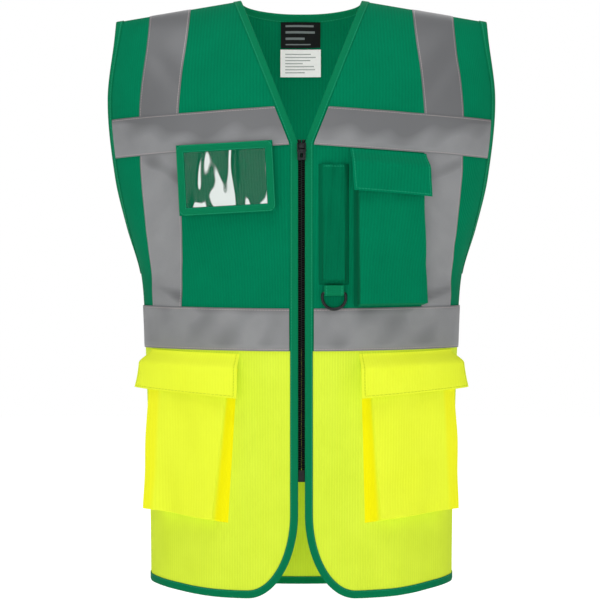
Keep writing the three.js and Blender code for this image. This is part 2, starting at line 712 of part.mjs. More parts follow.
function zipTape(hand) {
  const low = zipTapeHigh - ZIP_TAPE_THICK;
  return sheet(
    1,
    12,
    (u, v) => {
      const x = lerp(teethOuter + GAP, teethOuter + GAP + ZIP_TAPE_WIDE, u);
      return mirrored(seenAt(FRONT, x, lerp(zipBottom, ZIP_TOP, v)), hand);
    },
    low,
    zipTapeHigh,
  );
}

function zipTeeth(hand) {
  const [from, to] = handed(hand, TEETH_SLOT, teethOuter);
  return block(from, to, teethHigh - TEETH_THICK, teethHigh, teethBottom, ZIP_TOP - STOP_TALL - GAP);
}

function zipStop(hand) {
  const [from, to] = handed(hand, TEETH_SLOT, teethOuter);
  return block(from, to, teethHigh - TEETH_THICK, teethHigh + 0.4, ZIP_TOP - STOP_TALL, ZIP_TOP);
}

// ---------------------------------------------------------------- cutting and joining

function toSolid(geometry) {
  const mesh = new wasm.Mesh({
    numProp: 3,
    vertProperties: new Float32Array(geometry.attributes.position.array),
    triVerts: new Uint32Array(geometry.index.array),
  });
  return new wasm.Manifold(mesh);
}

function toGeometry(solid) {
  const mesh = solid.getMesh();
  const geometry = new THREE.BufferGeometry();
  geometry.setAttribute("position", new THREE.BufferAttribute(new Float32Array(mesh.vertProperties), 3));
  geometry.setIndex(new THREE.BufferAttribute(new Uint32Array(mesh.triVerts), 1));
  return geometry;
}

const join = (...parts) => toGeometry(parts.map(toSolid).reduce((whole, part) => whole.add(part)));
const cut = (whole, hole) => toGeometry(toSolid(whole).subtract(toSolid(hole)));

// The slider: a plate before the bindings, a neck between them, a wall between the teeth, a rear plate.
const sliderTop = -V_DROP;
const sliderBottom = sliderTop - SLIDER_TALL;
const RUNNING_GAP = 0.4; // the slider's clearance from the teeth and the bindings
const MERGE = 0.2; // how far two joined blocks reach into each other
const SLIDER_SETBACK = 1; // neck and rear plate inside the ends of the front plate
const NECK = 3.2; // half width of the slider's neck
const WALL = 0.35; // half thickness of the wall that runs between the teeth
const WALL_TALL = 3;
const BAIL = 3; // half width of the bail that holds the pull
const BAIL_SETBACK = 0.5;
const EYE_LOW = 0.7; // the bail's eye above the front plate
const EYE_DEEP = 2.5;
const EYE_TALL = 3;
const EYE_WALL = 1.5; // bail above and below the eye
const EYE_ROOF = 1.2; // bail in front of the eye
const plateLow = BINDING_FACE + RUNNING_GAP;
const plateHigh = plateLow + SLIDER_PLATE;
const teethLow = teethHigh - TEETH_THICK;
const eyeTop = sliderTop - BAIL_SETBACK - EYE_WALL;

function slider() {
  const bottom = sliderBottom + SLIDER_SETBACK;
  const top = sliderTop - SLIDER_SETBACK;
  const rearHigh = teethLow - RUNNING_GAP;
  const eyeLow = plateHigh + EYE_LOW;
  const eyeHigh = eyeLow + EYE_DEEP;
  const eyeBottom = eyeTop - EYE_TALL;
  const front = block(-SLIDER_WIDE / 2, SLIDER_WIDE / 2, plateLow, plateHigh, sliderBottom, sliderTop);
  const neck = block(-NECK, NECK, teethHigh + RUNNING_GAP, plateLow + MERGE, bottom, top);
  const wall = block(-WALL, WALL, rearHigh - MERGE, teethHigh + RUNNING_GAP + MERGE, top - WALL_TALL, top);
  const rear = block(-teethOuter, teethOuter, rearHigh - SLIDER_PLATE, rearHigh, bottom, top);
  const bailTop = eyeTop + EYE_WALL;
  const bail = block(-BAIL, BAIL, plateHigh - MERGE, eyeHigh + EYE_ROOF, eyeBottom - EYE_WALL, bailTop);
  const eye = block(-BAIL - 1, BAIL + 1, eyeLow, eyeHigh, eyeBottom, eyeTop);
  return cut(join(front, neck, wall, rear, bail), eye);
}

// The pull: a bar through the bail's eye, two arms down past the bail, and a tab with a hole.
const PULL_BAR = 0.7; // half thickness of the bar
const PULL_ARM = 4.5; // from the bar down to the tab
const BAIL_GAP = 0.5; // between an arm and the bail
const PULL_HOLE = { half: 1.6, tall: 5, aboveEnd: 3 };
const pullAxisHeight = plateHigh + EYE_LOW + EYE_DEEP / 2;
const pullAxisZ = eyeTop - EYE_TALL / 2;

function pull() {
  const low = pullAxisHeight - PULL_THICK / 2;
  const high = pullAxisHeight + PULL_THICK / 2;
  const inner = BAIL + BAIL_GAP;
  const outer = PULL_WIDE / 2;
  const armTop = pullAxisZ + PULL_THICK / 2;
  const armBottom = pullAxisZ - PULL_ARM - 1;
  const bottom = pullAxisZ - PULL_LONG;
  const holeBottom = bottom + PULL_HOLE.aboveEnd;
  const barLow = pullAxisHeight - PULL_BAR;
  const barHigh = pullAxisHeight + PULL_BAR;
  const bar = block(-outer, outer, barLow, barHigh, pullAxisZ - PULL_BAR, pullAxisZ + PULL_BAR);
  const left = block(-outer, -inner, low, high, armBottom, armTop);
  const right = block(inner, outer, low, high, armBottom, armTop);
  const tab = block(-outer, outer, low, high, bottom, pullAxisZ - PULL_ARM);
  const holeTop = holeBottom + PULL_HOLE.tall;
  const hole = block(-PULL_HOLE.half, PULL_HOLE.half, low - 1, high + 1, holeBottom, holeTop);
  return cut(join(bar, left, right, tab), hole);
}

// The box at the zip's lower end, with the slot that the other side's pin drops into from above.
const BOX_WALL = 1.2;
const BOX_FLOOR = 1.5;
const PIN_ROOM = 0.35; // clearance beside the pin
const pinX = -(TEETH_SLOT + RUNNING_GAP + PIN_WIDE / 2);
const pinLow = teethLow + GAP;
const pinHigh = teethHigh - PIN_ROOM;

function zipBox() {
  const half = ZIP_BOX_WIDE / 2;
  const room = PIN_WIDE / 2 + PIN_ROOM;
  const top = zipBottom + ZIP_BOX_TALL;
  const whole = block(-half, half, teethLow - BOX_WALL, teethHigh + BOX_WALL, zipBottom, top);
  const slot = block(pinX - room, pinX + room, teethLow, teethHigh, zipBottom + BOX_FLOOR, top + 1);
  return cut(whole, slot);
}

function zipPin() {
  const half = PIN_WIDE / 2;
  return block(pinX - half, pinX + half, pinLow, pinHigh, zipBottom + BOX_FLOOR + GAP, teethBottom - GAP);
}

// ---------------------------------------------------------------- pockets

// A pocket without a back: front, ends and bottom, sewn to the cloth. at(u, v) gives its places.
function openPocket(at, width, tall, columns, rows, low, deep) {
  const wallAcross = POCKET_WALL / width;
  const wallDown = POCKET_WALL / tall;
  const pastMouth = CUT_PAST / tall;
  const innerAt = (u, v) => at(lerp(wallAcross, 1 - wallAcross, u), lerp(wallDown, 1 + pastMouth, v));
  const outer = bentBox(columns, rows, 1, (u, v, w) => off(at(u, v), lerp(low, low + deep, w)));
  const inner = bentBox(columns, rows, 1, (u, v, w) =>
    off(innerAt(u, v), lerp(low - CUT_PAST, low + deep - POCKET_WALL, w)),
  );
  return cut(outer, inner);
}

// A flap sewn along its top: it stands out from the cloth over the pocket's mouth and hangs in front of it.
function flap(at, columns, low, standoff) {
  return bentBox(columns, 5, 1, (u, v, w) => {
    const height = lerp(low, standoff, smoothstep(1 - v, 0, FLAP_TURN));
    return off(at(u, v), height + w * FLAP_THICK);
  });
}

// Places of a piece between two upright lines seen from the front: x and z of its corners.
function panelOfFront(corners, hand) {
  const { innerTop, innerBottom, outerTop, outerBottom } = corners;
  const inner = (v) => seenAt(FRONT, lerp(innerBottom.x, innerTop.x, v), lerp(innerBottom.z, innerTop.z, v));
  const outer = (v) => seenAt(FRONT, lerp(outerBottom.x, outerTop.x, v), lerp(outerBottom.z, outerTop.z, v));
  return (u, v) => mirrored(between(inner(v), outer(v), u), hand);
}

// Loop patch on a pocket and hook patch on its flap, both on the front of the pocket.
function patchSheet(at, low) {
  const inset = (u) => lerp(PATCH_INSET, 1 - PATCH_INSET, u);
  return bentBox(6, 1, 1, (u, v, w) => off(at(inset(u), v), low + w * PATCH_THICK));
}

const POCKET_LOW = CLOTH / 2 + LAYER_GAP;
const CHEST_POCKET_LOW = BRACE_LOW + TAPE_CLOTH + LAYER_GAP; // it laps over the brace's edge
const patchRoom = 3 * GAP + 2 * PATCH_THICK;

const chestFlapTop = (x) => chestTapeTop(x) - CHEST_TAPE_TALL - 2 * GAP - 1;
const waistTapeTopAt = (x) => waistTapeTop((asin(x / halfWidth(WAIST_TAPE_TOP)) * 2) / PI);

function chestFlapPlaces() {
  const { inner, outer, tall } = CHEST_FLAP;
  return panelOfFront(
    {
      innerTop: { x: inner, z: chestFlapTop(inner) },
      innerBottom: { x: inner + 3, z: chestFlapTop(inner) - tall },
      outerTop: { x: outer, z: chestFlapTop(outer) },
      outerBottom: { x: outer, z: chestFlapTop(outer) - tall },
    },
    LEFT,
  );
}

function chestPocketPlaces() {
  const { inner, outer, aboveTape } = CHEST_POCKET;
  return panelOfFront(
    {
      innerTop: { x: inner, z: chestFlapTop(inner) - MOUTH_BELOW_FLAP_TOP },
      innerBottom: { x: inner, z: waistTapeTopAt(inner) + aboveTape },
      outerTop: { x: outer, z: chestFlapTop(outer) - MOUTH_BELOW_FLAP_TOP },
      outerBottom: { x: outer, z: waistTapeTopAt(outer) + aboveTape },
    },
    LEFT,
  );
}

const sub = (at, u0, u1, v0, v1) => (u, v) => at(lerp(u0, u1, u), lerp(v0, v1, v));

// word starts the pieces' names; sizes holds the pocket's width and height and the flap's height.
function addFlappedPocket(word, pocketAt, flapAt, sizes, low, deep, makeMaterial) {
  const front = low + deep;
  const hookTop = 1 - PATCH_DOWN;
  const hookAt = sub(flapAt, 0, 1, hookTop - PATCH_TALL / sizes.flapTall, hookTop);
  const loopTop = 1 - (sizes.flapTall * PATCH_DOWN - MOUTH_BELOW_FLAP_TOP) / sizes.tall;
  const loopAt = sub(pocketAt, 0, 1, loopTop - PATCH_TALL / sizes.tall, loopTop);
  add(`${word}_pocket`, openPocket(pocketAt, sizes.wide, sizes.tall, 12, 6, low, deep), makeMaterial());
  add(`${word}_loop_patch`, patchSheet(loopAt, front + GAP), black());
  add(`${word}_hook_patch`, patchSheet(hookAt, front + PATCH_THICK + 2 * GAP), black());
  add(`${word}_flap`, flap(flapAt, 12, low, front + patchRoom), makeMaterial());
}

// A lower pocket's places, or with past its flap's: past is how far the flap reaches out at each end.
function lowerPlaces(size, top, topSlope, bottom, bottomSlope, past, hand) {
  const outer = halfWidth(-bottom) - LOWER_SIDE_GAP + past;
  return panelOfFront(
    {
      innerTop: { x: size.inner - past, z: top },
      innerBottom: { x: (past ? size.inner : size.innerLow) - past, z: bottom },
      outerTop: { x: outer, z: top + topSlope },
      outerBottom: { x: outer, z: bottom + bottomSlope },
    },
    hand,
  );
}

function addLowerPocket(word, size, hand) {
  const flapTop = waistSeam(0) - LOWER_FLAP_GAP;
  const mouth = flapTop - MOUTH_BELOW_FLAP_TOP;
  const bottom = -HEM_DROP + LOWER_ABOVE_HEM;
  const wide = halfWidth(-bottom) - LOWER_SIDE_GAP - size.inner;
  const flapBottom = flapTop - LOWER_FLAP_TALL;
  const flapOuter = LOWER_SLOPE - 2;
  const pocketAt = lowerPlaces(size, mouth, FLAP_SLOPE, bottom, LOWER_SLOPE, 0, hand);
  const flapAt = lowerPlaces(size, flapTop, FLAP_SLOPE, flapBottom, flapOuter, FLAP_OVERHANG, hand);
  const sizes = { wide, tall: mouth - bottom, flapTall: LOWER_FLAP_TALL };
  addFlappedPocket(`lower_${word}`, pocketAt, flapAt, sizes, POCKET_LOW, LOWER_DEEP, yellow);
}

function penPocket() {
  const { inner, outer, top, tall, deep } = PEN_POCKET;
  const at = panelOfFront(
    {
      innerTop: { x: inner, z: -top },
      innerBottom: { x: inner, z: -top - tall },
      outerTop: { x: outer, z: -top },
      outerBottom: { x: outer, z: -top - tall },
    },
    LEFT,
  );
  return openPocket(at, outer - inner, tall, 4, 6, POCKET_LOW, deep);
}

// ---------------------------------------------------------------- D ring on its webbing tab

const tabTop = -PEN_POCKET.top - PEN_POCKET.tall - 1; // just under the pen pocket
const ringX = (PEN_POCKET.inner + PEN_POCKET.outer) / 2;
const tabWide = 2 * (RING_HALF - 2 * RING_WIRE - TAB_SIDE_GAP);
const loopInner = RING_WIRE + 0.6;
const ringHeight = BAND_LOW + TAPE_CLOTH + 2 * GAP + RING_WIRE; // the ring hangs clear of the waist tape
const ringBarZ = tabTop - 9;
const RING_SIDE = 5; // straight sides between the bar and the round

// The tab's section: down behind the bar, half round under it, and up in front.
function dRingTab() {
  const radius = loopInner + TAB_CLOTH / 2;
  return bentBox(2, 10, 1, (u, v, w) => {
    const x = ringX + (u - 0.5) * tabWide;
    const r = radius + (w - 0.5) * TAB_CLOTH;
    const leg = TAB_LEG;
    const turn = clamp((v - leg) / (1 - 2 * leg), 0, 1) * PI;
    const rise = v < leg / 2 || v > 1 - leg / 2 ? tabTop - ringBarZ : 0;
    return off(seenAt(FRONT, x, ringBarZ + rise - r * sin(turn)), ringHeight - r * cos(turn));
  });
}

function dRing() {
  const bevel = 0.7;
  const outer = new THREE.Shape();
  const out = RING_HALF - bevel;
  outer.moveTo(-out, RING_WIRE - bevel);
  outer.lineTo(-out, -RING_SIDE);
  outer.absarc(0, -RING_SIDE, out, PI, 2 * PI, false);
  outer.lineTo(out, RING_WIRE - bevel);
  outer.closePath();
  const inner = new THREE.Path();
  const inside = RING_HALF - 2 * RING_WIRE + bevel;
  inner.moveTo(-inside, -RING_WIRE + bevel);
  inner.lineTo(-inside, -RING_SIDE);
  inner.absarc(0, -RING_SIDE, inside, PI, 2 * PI, false);
  inner.lineTo(inside, -RING_WIRE + bevel);
  inner.closePath();
  outer.holes.push(inner);
  const settings = {
    depth: 2 * (RING_WIRE - bevel),
    bevelThickness: bevel,
    bevelSize: bevel,
    bevelSegments: 1,
    curveSegments: 9,
  };
  const ring = new THREE.ExtrudeGeometry(outer, settings);
  ring.translate(0, 0, bevel - RING_WIRE);
  ring.deleteAttribute("normal");
  ring.deleteAttribute("uv");
  return mergeVertices(ring, 1e-4);
}

// ---------------------------------------------------------------- identity card holder

// Its own frame: x along its top edge to +X, y away from the wearer's front, z down from the top edge.
function holderPlate(wide, tall, topDrop, low, high) {
  const plate = new THREE.BoxGeometry(wide, high - low, tall);
  plate.translate(0, -(low + high) / 2, -topDrop - tall / 2);
  return plate;
}

function holderRim() {
  const outer = new THREE.Shape();
  const halfWide = HOLDER.wide / 2;
  outer.moveTo(-halfWide, 0);
  outer.lineTo(-halfWide, -HOLDER.tall);
  outer.lineTo(halfWide, -HOLDER.tall);
  outer.lineTo(halfWide, 0);
  outer.closePath();
  const inner = new THREE.Path();
  const left = halfWide - HOLDER_RIM;
  inner.moveTo(-left, -HOLDER_RIM);
  inner.lineTo(-left, -HOLDER.tall + HOLDER_RIM);
  inner.lineTo(left, -HOLDER.tall + HOLDER_RIM);
  inner.lineTo(left, -HOLDER_RIM);
  inner.closePath();
  outer.holes.push(inner);
  const rim = new THREE.ExtrudeGeometry(outer, { depth: HOLDER_RIM_THICK, bevelEnabled: false });
  rim.rotateX(PI / 2);
  rim.translate(0, -HOLDER_BACK_THICK - GAP, 0);
  return rim;
}

const windowLow = HOLDER_BACK_THICK + CARD_ROOM;
const holderMiddle = HOLDER.inner + HOLDER.wide / 2;
const holderChord = () => {
  const near = off(seenAt(FRONT, HOLDER.inner, -HOLDER.top), 0);
  const far = off(seenAt(FRONT, HOLDER.inner + HOLDER.wide, -HOLDER.top), 0);
  return Math.atan2(far.y - near.y, HOLDER.wide);
};

function addHolder() {
  const group = new THREE.Group();
  const top = off(seenAt(FRONT, -holderMiddle, -HOLDER.top), BAND_LOW + HOLDER_STANDOFF);
  group.position.copy(top);
  group.rotation.set(0, THREE.MathUtils.degToRad(HOLDER.tilt), -holderChord(), "ZYX");
  const pieces = [
    ["id_holder_backing", holderPlate(HOLDER.wide, HOLDER.tall, 0, 0, HOLDER_BACK_THICK), green()],
    ["id_holder_frame", holderRim(), bindingGreen()],
    [
      "id_holder_window",
      holderPlate(
        HOLDER.wide - 2 * (HOLDER_RIM + GAP),
        HOLDER.tall - 2 * (HOLDER_RIM + GAP),
        HOLDER_RIM + GAP,
        windowLow,
        windowLow + WINDOW_THICK,
      ),
      clear(),
    ],
  ];
  for (const [name, geometry, material] of pieces) {
    const mesh = new THREE.Mesh(geometry, material);
    mesh.name = name;
    group.add(mesh);
  }
  vest.add(group);
}

// ---------------------------------------------------------------- labels inside the back neck

function label({ middle, wide, top, tall }) {
  const high = -CLOTH / 2 - LABEL_GAP;
  return bentBox(4, 6, 1, (u, v, w) => {
    const x = middle + (u - 0.5) * wide;
    return off(seenAt(BACK, x, -top - tall * (1 - v)), high - w * LABEL_THICK);
  });
}

// ---------------------------------------------------------------- the assembly

add("back_yoke", backRows(0, YOKE_ROWS), green());
add("back_upper_panel", backRows(YOKE_ROWS, BACK_ROWS), green());
add("back_lower_panel", sheet(BACK_COLUMNS, 4, backLowerPlace, -CLOTH / 2, CLOTH / 2), yellow());
add("back_neck_binding", binding(neckStations), bindingGreen());
add("back_hem_binding", binding(hemStations), bindingGreen());
add("back_chest_tape", chestTape(BACK, LEFT), silver());
add("back_waist_tape", waistTape(BACK, LEFT), silver());
add("size_label", label(SIZE_LABEL), black());
add("care_label", label(CARE_LABEL), white());

for (const [word, hand] of [["left", LEFT], ["right", RIGHT]]) {
  add(`front_${word}_shoulder`, frontPanel(shoulderRows, FRONT_COLUMNS, hand), green());
  add(`neck_binding_${word}`, binding(mirroredStations(innerStations(shoulderRows), hand)), bindingGreen());
  add(`armhole_binding_${word}`, binding(mirroredStations(armholeStations(), hand)), bindingGreen());
  add(`brace_${word}`, braceOver(hand), silver());

  add(`front_${word}_upper_panel`, frontPanel(upperRows, FRONT_COLUMNS, hand), green());
  add(`front_${word}_lower_panel`, frontLower(hand), yellow());
  add(`front_${word}_binding`, binding(mirroredStations(frontBindingStations(), hand)), bindingGreen());
  const armholeStrip = outerStations(upperRows.slice(0, ROWS_TO_ARMPIT + 1));
  add(`armhole_binding_front_${word}`, binding(mirroredStations(armholeStrip, hand)), bindingGreen());
  add(`chest_tape_${word}`, chestTape(FRONT, hand), silver());
  add(`waist_tape_${word}`, waistTape(FRONT, hand), silver());
  add(`brace_front_${word}`, braceFront(hand), silver());
  add(`zip_tape_${word}`, zipTape(hand), black());
  add(`zip_teeth_${word}`, zipTeeth(hand), black());
  add(`zip_stop_${word}`, zipStop(hand), black());
  addLowerPocket(word, LOWER_POCKET[word], hand);
}

add("zip_slider", slider(), black());
add("zip_pull", pull(), black());
add("zip_box", zipBox(), black());
add("zip_pin", zipPin(), black());

add("pen_pocket", penPocket(), green());
const chestSizes = {
  flapTall: CHEST_FLAP.tall,
  wide: CHEST_POCKET.outer - CHEST_POCKET.inner,
  tall: chestFlapTop(CHEST_POCKET.inner) - MOUTH_BELOW_FLAP_TOP - waistTapeTopAt(CHEST_POCKET.inner),
};
addFlappedPocket(
  "chest",
  chestPocketPlaces(),
  chestFlapPlaces(),
  chestSizes,
  CHEST_POCKET_LOW,
  CHEST_POCKET.deep,
  green,
);

add("d_ring_tab", dRingTab(), green());
const ring = new THREE.Mesh(dRing(), black());
ring.name = "d_ring";
const ringPlace = seenAt(FRONT, ringX, ringBarZ);
const ringNormal = normalAt(FRONT, ringPlace.s, ringPlace.level);
ring.position.copy(off(ringPlace, ringHeight));
ring.rotation.set(PI / 2, 0, Math.atan2(ringNormal.x, -ringNormal.y), "ZYX");
vest.add(ring);

addHolder();

export default vest;
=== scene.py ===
import json

import bmesh
import bpy
import numpy as np
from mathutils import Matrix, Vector


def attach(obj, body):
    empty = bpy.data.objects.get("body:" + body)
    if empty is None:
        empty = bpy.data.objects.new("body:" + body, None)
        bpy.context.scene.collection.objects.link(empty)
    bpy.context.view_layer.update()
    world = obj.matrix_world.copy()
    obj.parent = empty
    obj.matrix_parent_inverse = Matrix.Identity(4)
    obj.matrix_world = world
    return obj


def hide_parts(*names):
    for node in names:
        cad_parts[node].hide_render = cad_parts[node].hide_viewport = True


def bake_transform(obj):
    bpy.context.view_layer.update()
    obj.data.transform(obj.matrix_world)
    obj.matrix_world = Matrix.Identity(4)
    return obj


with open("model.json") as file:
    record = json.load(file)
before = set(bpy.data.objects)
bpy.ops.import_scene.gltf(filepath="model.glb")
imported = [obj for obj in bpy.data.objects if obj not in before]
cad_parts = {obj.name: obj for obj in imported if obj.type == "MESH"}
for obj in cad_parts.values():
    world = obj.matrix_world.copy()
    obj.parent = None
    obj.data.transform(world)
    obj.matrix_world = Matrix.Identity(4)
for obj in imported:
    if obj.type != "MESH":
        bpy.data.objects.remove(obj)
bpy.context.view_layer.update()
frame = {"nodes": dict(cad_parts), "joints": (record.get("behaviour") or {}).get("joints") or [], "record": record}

bl_info = {
    "name": "High visibility vest",
    "version": (1, 0, 0),
    "blender": (4, 5, 0),
    "location": "3D View > Sidebar > Vest",
    "description": "Builds the cloth, tapes, zip, pockets and small parts of a high visibility vest",
    "category": "Object",
}

FRONT, BACK = -1, 1
SIDES = (("left", 1), ("right", -1))
JOINTS = {joint["name"]: joint for joint in frame["joints"]}

# ---------------------------------------------------------------- the body surface, in millimetres

NECK_HALF, SHOULDER_DROP, BACK_NECK_DROP, V_DROP = 73.5, 25.0, 12.0, 174.0
ARMPIT_DROP, HEM_DROP, HEM_RISE = 326.0, 706.0, 15.0
DEPTH_FRONT, DEPTH_BACK, FRONT_ROLL, BACK_ROLL = 118.0, 112.0, 172.0, 120.0
SHOULDER_HALF = 221.0
SQUARENESS, ARMHOLE_CUT, ARMHOLE_CLOSING = 2.5, 0.03, 130.0
ARMHOLE_HALF, ARMPIT_POWER = 18.0, 0.7
FRONT_EDGE, CORNER_WIDE, CORNER_TALL = 5.3, 58.0, 98.0
SEAM_SLOPE = SHOULDER_DROP / (SHOULDER_HALF - NECK_HALF)
CLOTH = 0.9
TAPE_WIDE = 50.0
SEAM_STRIP = 9.0
SEAM_STRIP_HEIGHTS = -1.3, -1.8


def curve_through(points):
    """A smooth curve through [x, y] points: cubic pieces that share their slopes, level at both ends."""
    xs, ys = np.array(points, float).T
    slopes = np.zeros_like(xs)
    slopes[1:-1] = (ys[2:] - ys[:-2]) / (xs[2:] - xs[:-2])

    def curve(x):
        x = np.clip(x, xs[0], xs[-1])
        i = np.clip(np.searchsorted(xs, x) - 1, 0, len(xs) - 2)
        span = xs[i + 1] - xs[i]
        t = (x - xs[i]) / span
        blend = t * t * (3 - 2 * t)
        start = t * (1 - t) ** 2 * slopes[i] * span
        end = t * t * (1 - t) * slopes[i + 1] * span
        return ys[i] + (ys[i + 1] - ys[i]) * blend + start - end

    return curve


half_width = curve_through([(0, 221), (101, 229), (207, 220), (270, 207), (326, 192), (394, 187), (706, 180)])
back_hollow = curve_through([(206, 0), (406, 8), (706, 0)])
brace_middle = curve_through([(0, 157), (129, 168), (368, 160)])


def smooth(x, low, high):
    """A step that rises from 0 at low to 1 at high along a cubic."""
    t = np.clip((np.asarray(x, float) - low) / (high - low), 0, 1)
    return t * t * (3 - 2 * t)


def mix(a, b, t):
    return a + (b - a) * t


def seam_share(level):
    return 1 - smooth(level, 0, ARMPIT_DROP - SHOULDER_DROP)


def seam_height(x):
    """Height of the shoulder seam: even slopes past the neck points, a parabola between them."""
    far = np.abs(x)
    inner = SEAM_SLOPE * (NECK_HALF**2 - far**2) / (2 * NECK_HALF)
    return np.where(far > NECK_HALF, SEAM_SLOPE * (NECK_HALF - far), inner)


def armhole_half(level):
    """Half opening of the armhole: share^0.5 times (1 - share)^0.7, scaled to peak at its half width."""
    share = np.clip(level / ARMPIT_DROP, 0, 1)
    widest = 0.5 / (0.5 + ARMPIT_POWER)
    peak = widest**0.5 * (1 - widest) ** ARMPIT_POWER
    return ARMHOLE_HALF * share**0.5 * (1 - share) ** ARMPIT_POWER / peak


def bare(side, s, level):
    """The worn shape, from s across (-1 to 1) and the level down from the neck points.

    x is a sine of s, y a superellipse of x that is rounded off over the shoulder, and z is minus the level.
    """
    reach = np.sin(np.abs(s) * np.pi / 2)
    x = np.sign(s) * half_width(level) * reach
    z = -level + seam_height(x) * seam_share(level)
    closing = smooth(level, ARMPIT_DROP - ARMHOLE_CLOSING, ARMPIT_DROP)
    oval = reach * (1 - ARMHOLE_CUT * (1 - closing))
    bulge = np.clip(1 - oval**SQUARENESS, 0, 1) ** (1 / SQUARENESS)
    depth, roll = (DEPTH_FRONT, FRONT_ROLL) if side == FRONT else (DEPTH_BACK - back_hollow(level), BACK_ROLL)
    rounded = np.sqrt(1 - (1 - np.clip(level / roll, 0, 1)) ** 2)
    edge = armhole_half(level)
    y = edge + np.maximum(depth * rounded - edge, 0) * bulge
    return np.stack([x, side * y, z], -1)


def past_seam(side, s, level):
    """The worn shape carried on past the side seam, where it mirrors itself front to back."""
    over = np.maximum(np.abs(s) - 1, 0)
    place = bare(side, s - 2 * over * np.sign(s), level)
    mirrored = (over > 0) & (np.asarray(level) > ARMPIT_DROP)
    place[..., 1] = np.where(mirrored, -place[..., 1], place[..., 1])
    return np.where((mirrored | (over == 0))[..., None], place, bare(side, np.clip(s, -1, 1), level))


def normal(side, s, level):
    """The outward normal: the cross product of small steps across and down."""
    across = past_seam(side, s + 0.004, level) - past_seam(side, s - 0.004, level)
    down = bare(side, s, level + 0.5) - bare(side, s, np.maximum(level - 0.5, 0))
    n = np.cross(across, down) * side
    return n / np.linalg.norm(n, axis=-1, keepdims=True)


def seen(x, z):
    """(s, level) of the point that shows at (x, z) from the front."""
    x, z = np.broadcast_arrays(np.asarray(x, float), np.asarray(z, float))
    level = -z
    for _ in range(14):
        level = np.maximum(0, -z + seam_height(x) * seam_share(level))
    return np.arcsin(np.clip(x / half_width(level), -1, 1)) * 2 / np.pi, level


def ridge(x, z, start, end, width, depth):
    """A soft fold along a line: a Gaussian across it, fading out at both ends."""
    (x0, z0), (x1, z1) = start, end
    dx, dz = x1 - x0, z1 - z0
    long = np.hypot(dx, dz)
    along = ((x - x0) * dx + (z - z0) * dz) / long**2
    across = ((x - x0) * dz - (z - z0) * dx) / long
    fade = smooth(along, -0.15, 0.25) * (1 - smooth(along, 0.7, 1.15))
    return depth * np.exp(-((across / width) ** 2)) * fade


# Folds as (start, end, width, depth), for the left half; the right half takes them a little apart.
FRONT_FOLDS = (
    ((120, -20), (60, -130), 12, 1.5),
    ((190, -60), (120, -150), 14, -1.8),
    ((212, -190), (90, -262), 12, 1.4),
    ((196, -285), (110, -330), 10, -1.3),
    ((186, -345), (128, -372), 9, 1.2),
    ((40, -430), (26, -600), 13, 1.6),
    ((60, -420), (52, -690), 10, -1.8),
    ((120, -600), (112, -720), 14, 2.6),
    ((160, -560), (148, -720), 11, -2.4),
    ((86, -610), (84, -720), 10, -2.0),
    ((20, -600), (52, -700), 11, 1.6),
)
BACK_FOLDS = (
    ((40, -60), (120, -240), 16, 2.0),
    ((170, -90), (70, -260), 15, -2.0),
    ((10, -120), (24, -330), 18, -1.6),
    ((150, -270), (60, -380), 13, 2.0),
    ((90, -440), (80, -720), 15, 2.8),
    ((35, -430), (30, -720), 13, -2.4),
    ((140, -450), (132, -720), 12, -2.2),
)


def folds(side, s, level):
    """How far the cloth stands off: the sum of soft ridges and a fine ripple, fading out at the seams."""
    x, _, z = np.moveaxis(bare(side, s, level), -1, 0)
    total = np.zeros_like(x)
    for start, end, width, depth in FRONT_FOLDS if side == FRONT else BACK_FOLDS:
        near = np.where(x >= 0, x, -x * 1.04 + 3)
        total += ridge(near, z, start, end, width, np.where(x >= 0, depth, 0.85 * depth))
    total += 0.35 * np.sin(x / 13 + z / 31) * np.sin(z / 19 - x / 47) + 0.2 * np.sin(x / 7.3 - z / 11)
    calm = smooth(level, 0, 45) * (1 - np.abs(np.clip(s, -1, 1)) ** 9)
    if side == FRONT:
        calm = calm * smooth(np.abs(x), 14, 44)
    return total * calm * sizes().fold_depth


def lay(side, s, level, height):
    """Points at a height over the folded cloth, in millimetres."""
    s, level, height = np.broadcast_arrays(*(np.asarray(v, float) for v in (s, level, height)))
    lift = (height + folds(side, s, level))[..., None]
    return bare(side, s, level) + normal(side, s, level) * lift


ARC_S = np.linspace(-1, 1, 401)


def grain(side, s, level):
    """Place along and across the knit, in metres: the arc length at the waist, and the drop."""
    line = bare(side, ARC_S, np.full(401, 380.0))
    arc = np.concatenate([[0], np.cumsum(np.linalg.norm(np.diff(line, axis=0), axis=1))])
    s, level = np.broadcast_arrays(np.asarray(s, float), np.asarray(level, float))
    return np.stack([np.interp(s, ARC_S, arc), -level], -1) / 1000


def step_across(side, s, level, distance):
    """The s that lies a distance away from s at the same level, found by halving."""
    way = np.sign(distance)
    near = np.zeros_like(s)
    far = np.full_like(s, 0.6)
    start = bare(side, s, level)
    for _ in range(26):
        middle = (near + far) / 2
        gone = np.linalg.norm(bare(side, s + way * middle, level) - start, axis=-1) < abs(distance)
        near, far = np.where(gone, middle, near), np.where(gone, far, middle)
    return s + way * near


# ---------------------------------------------------------------- meshes


def sheet_faces(m, n, start=0, wrap=False):
    """Quads of an m by n grid of points, row by row; wrap joins the last column to the first."""
    i, j = np.meshgrid(np.arange(m - 1), np.arange(n if wrap else n - 1), indexing="ij")
    k = (j + 1) % n
    return (np.stack([i * n + j, (i + 1) * n + j, (i + 1) * n + k, i * n + k], -1) + start).reshape(-1, 4)


def facing_out(points, faces):
    """The same faces, turned round where the closed mesh has a negative volume."""
    a, b, c, d = (points[faces[:, k]] for k in range(4))
    middle = points.mean(0)
    turned = np.cross(b - middle, c - middle) + np.cross(c - middle, d - middle)
    volume = np.einsum("ij,ij->", a - middle, turned)
    return faces[:, ::-1] if volume < 0 else faces


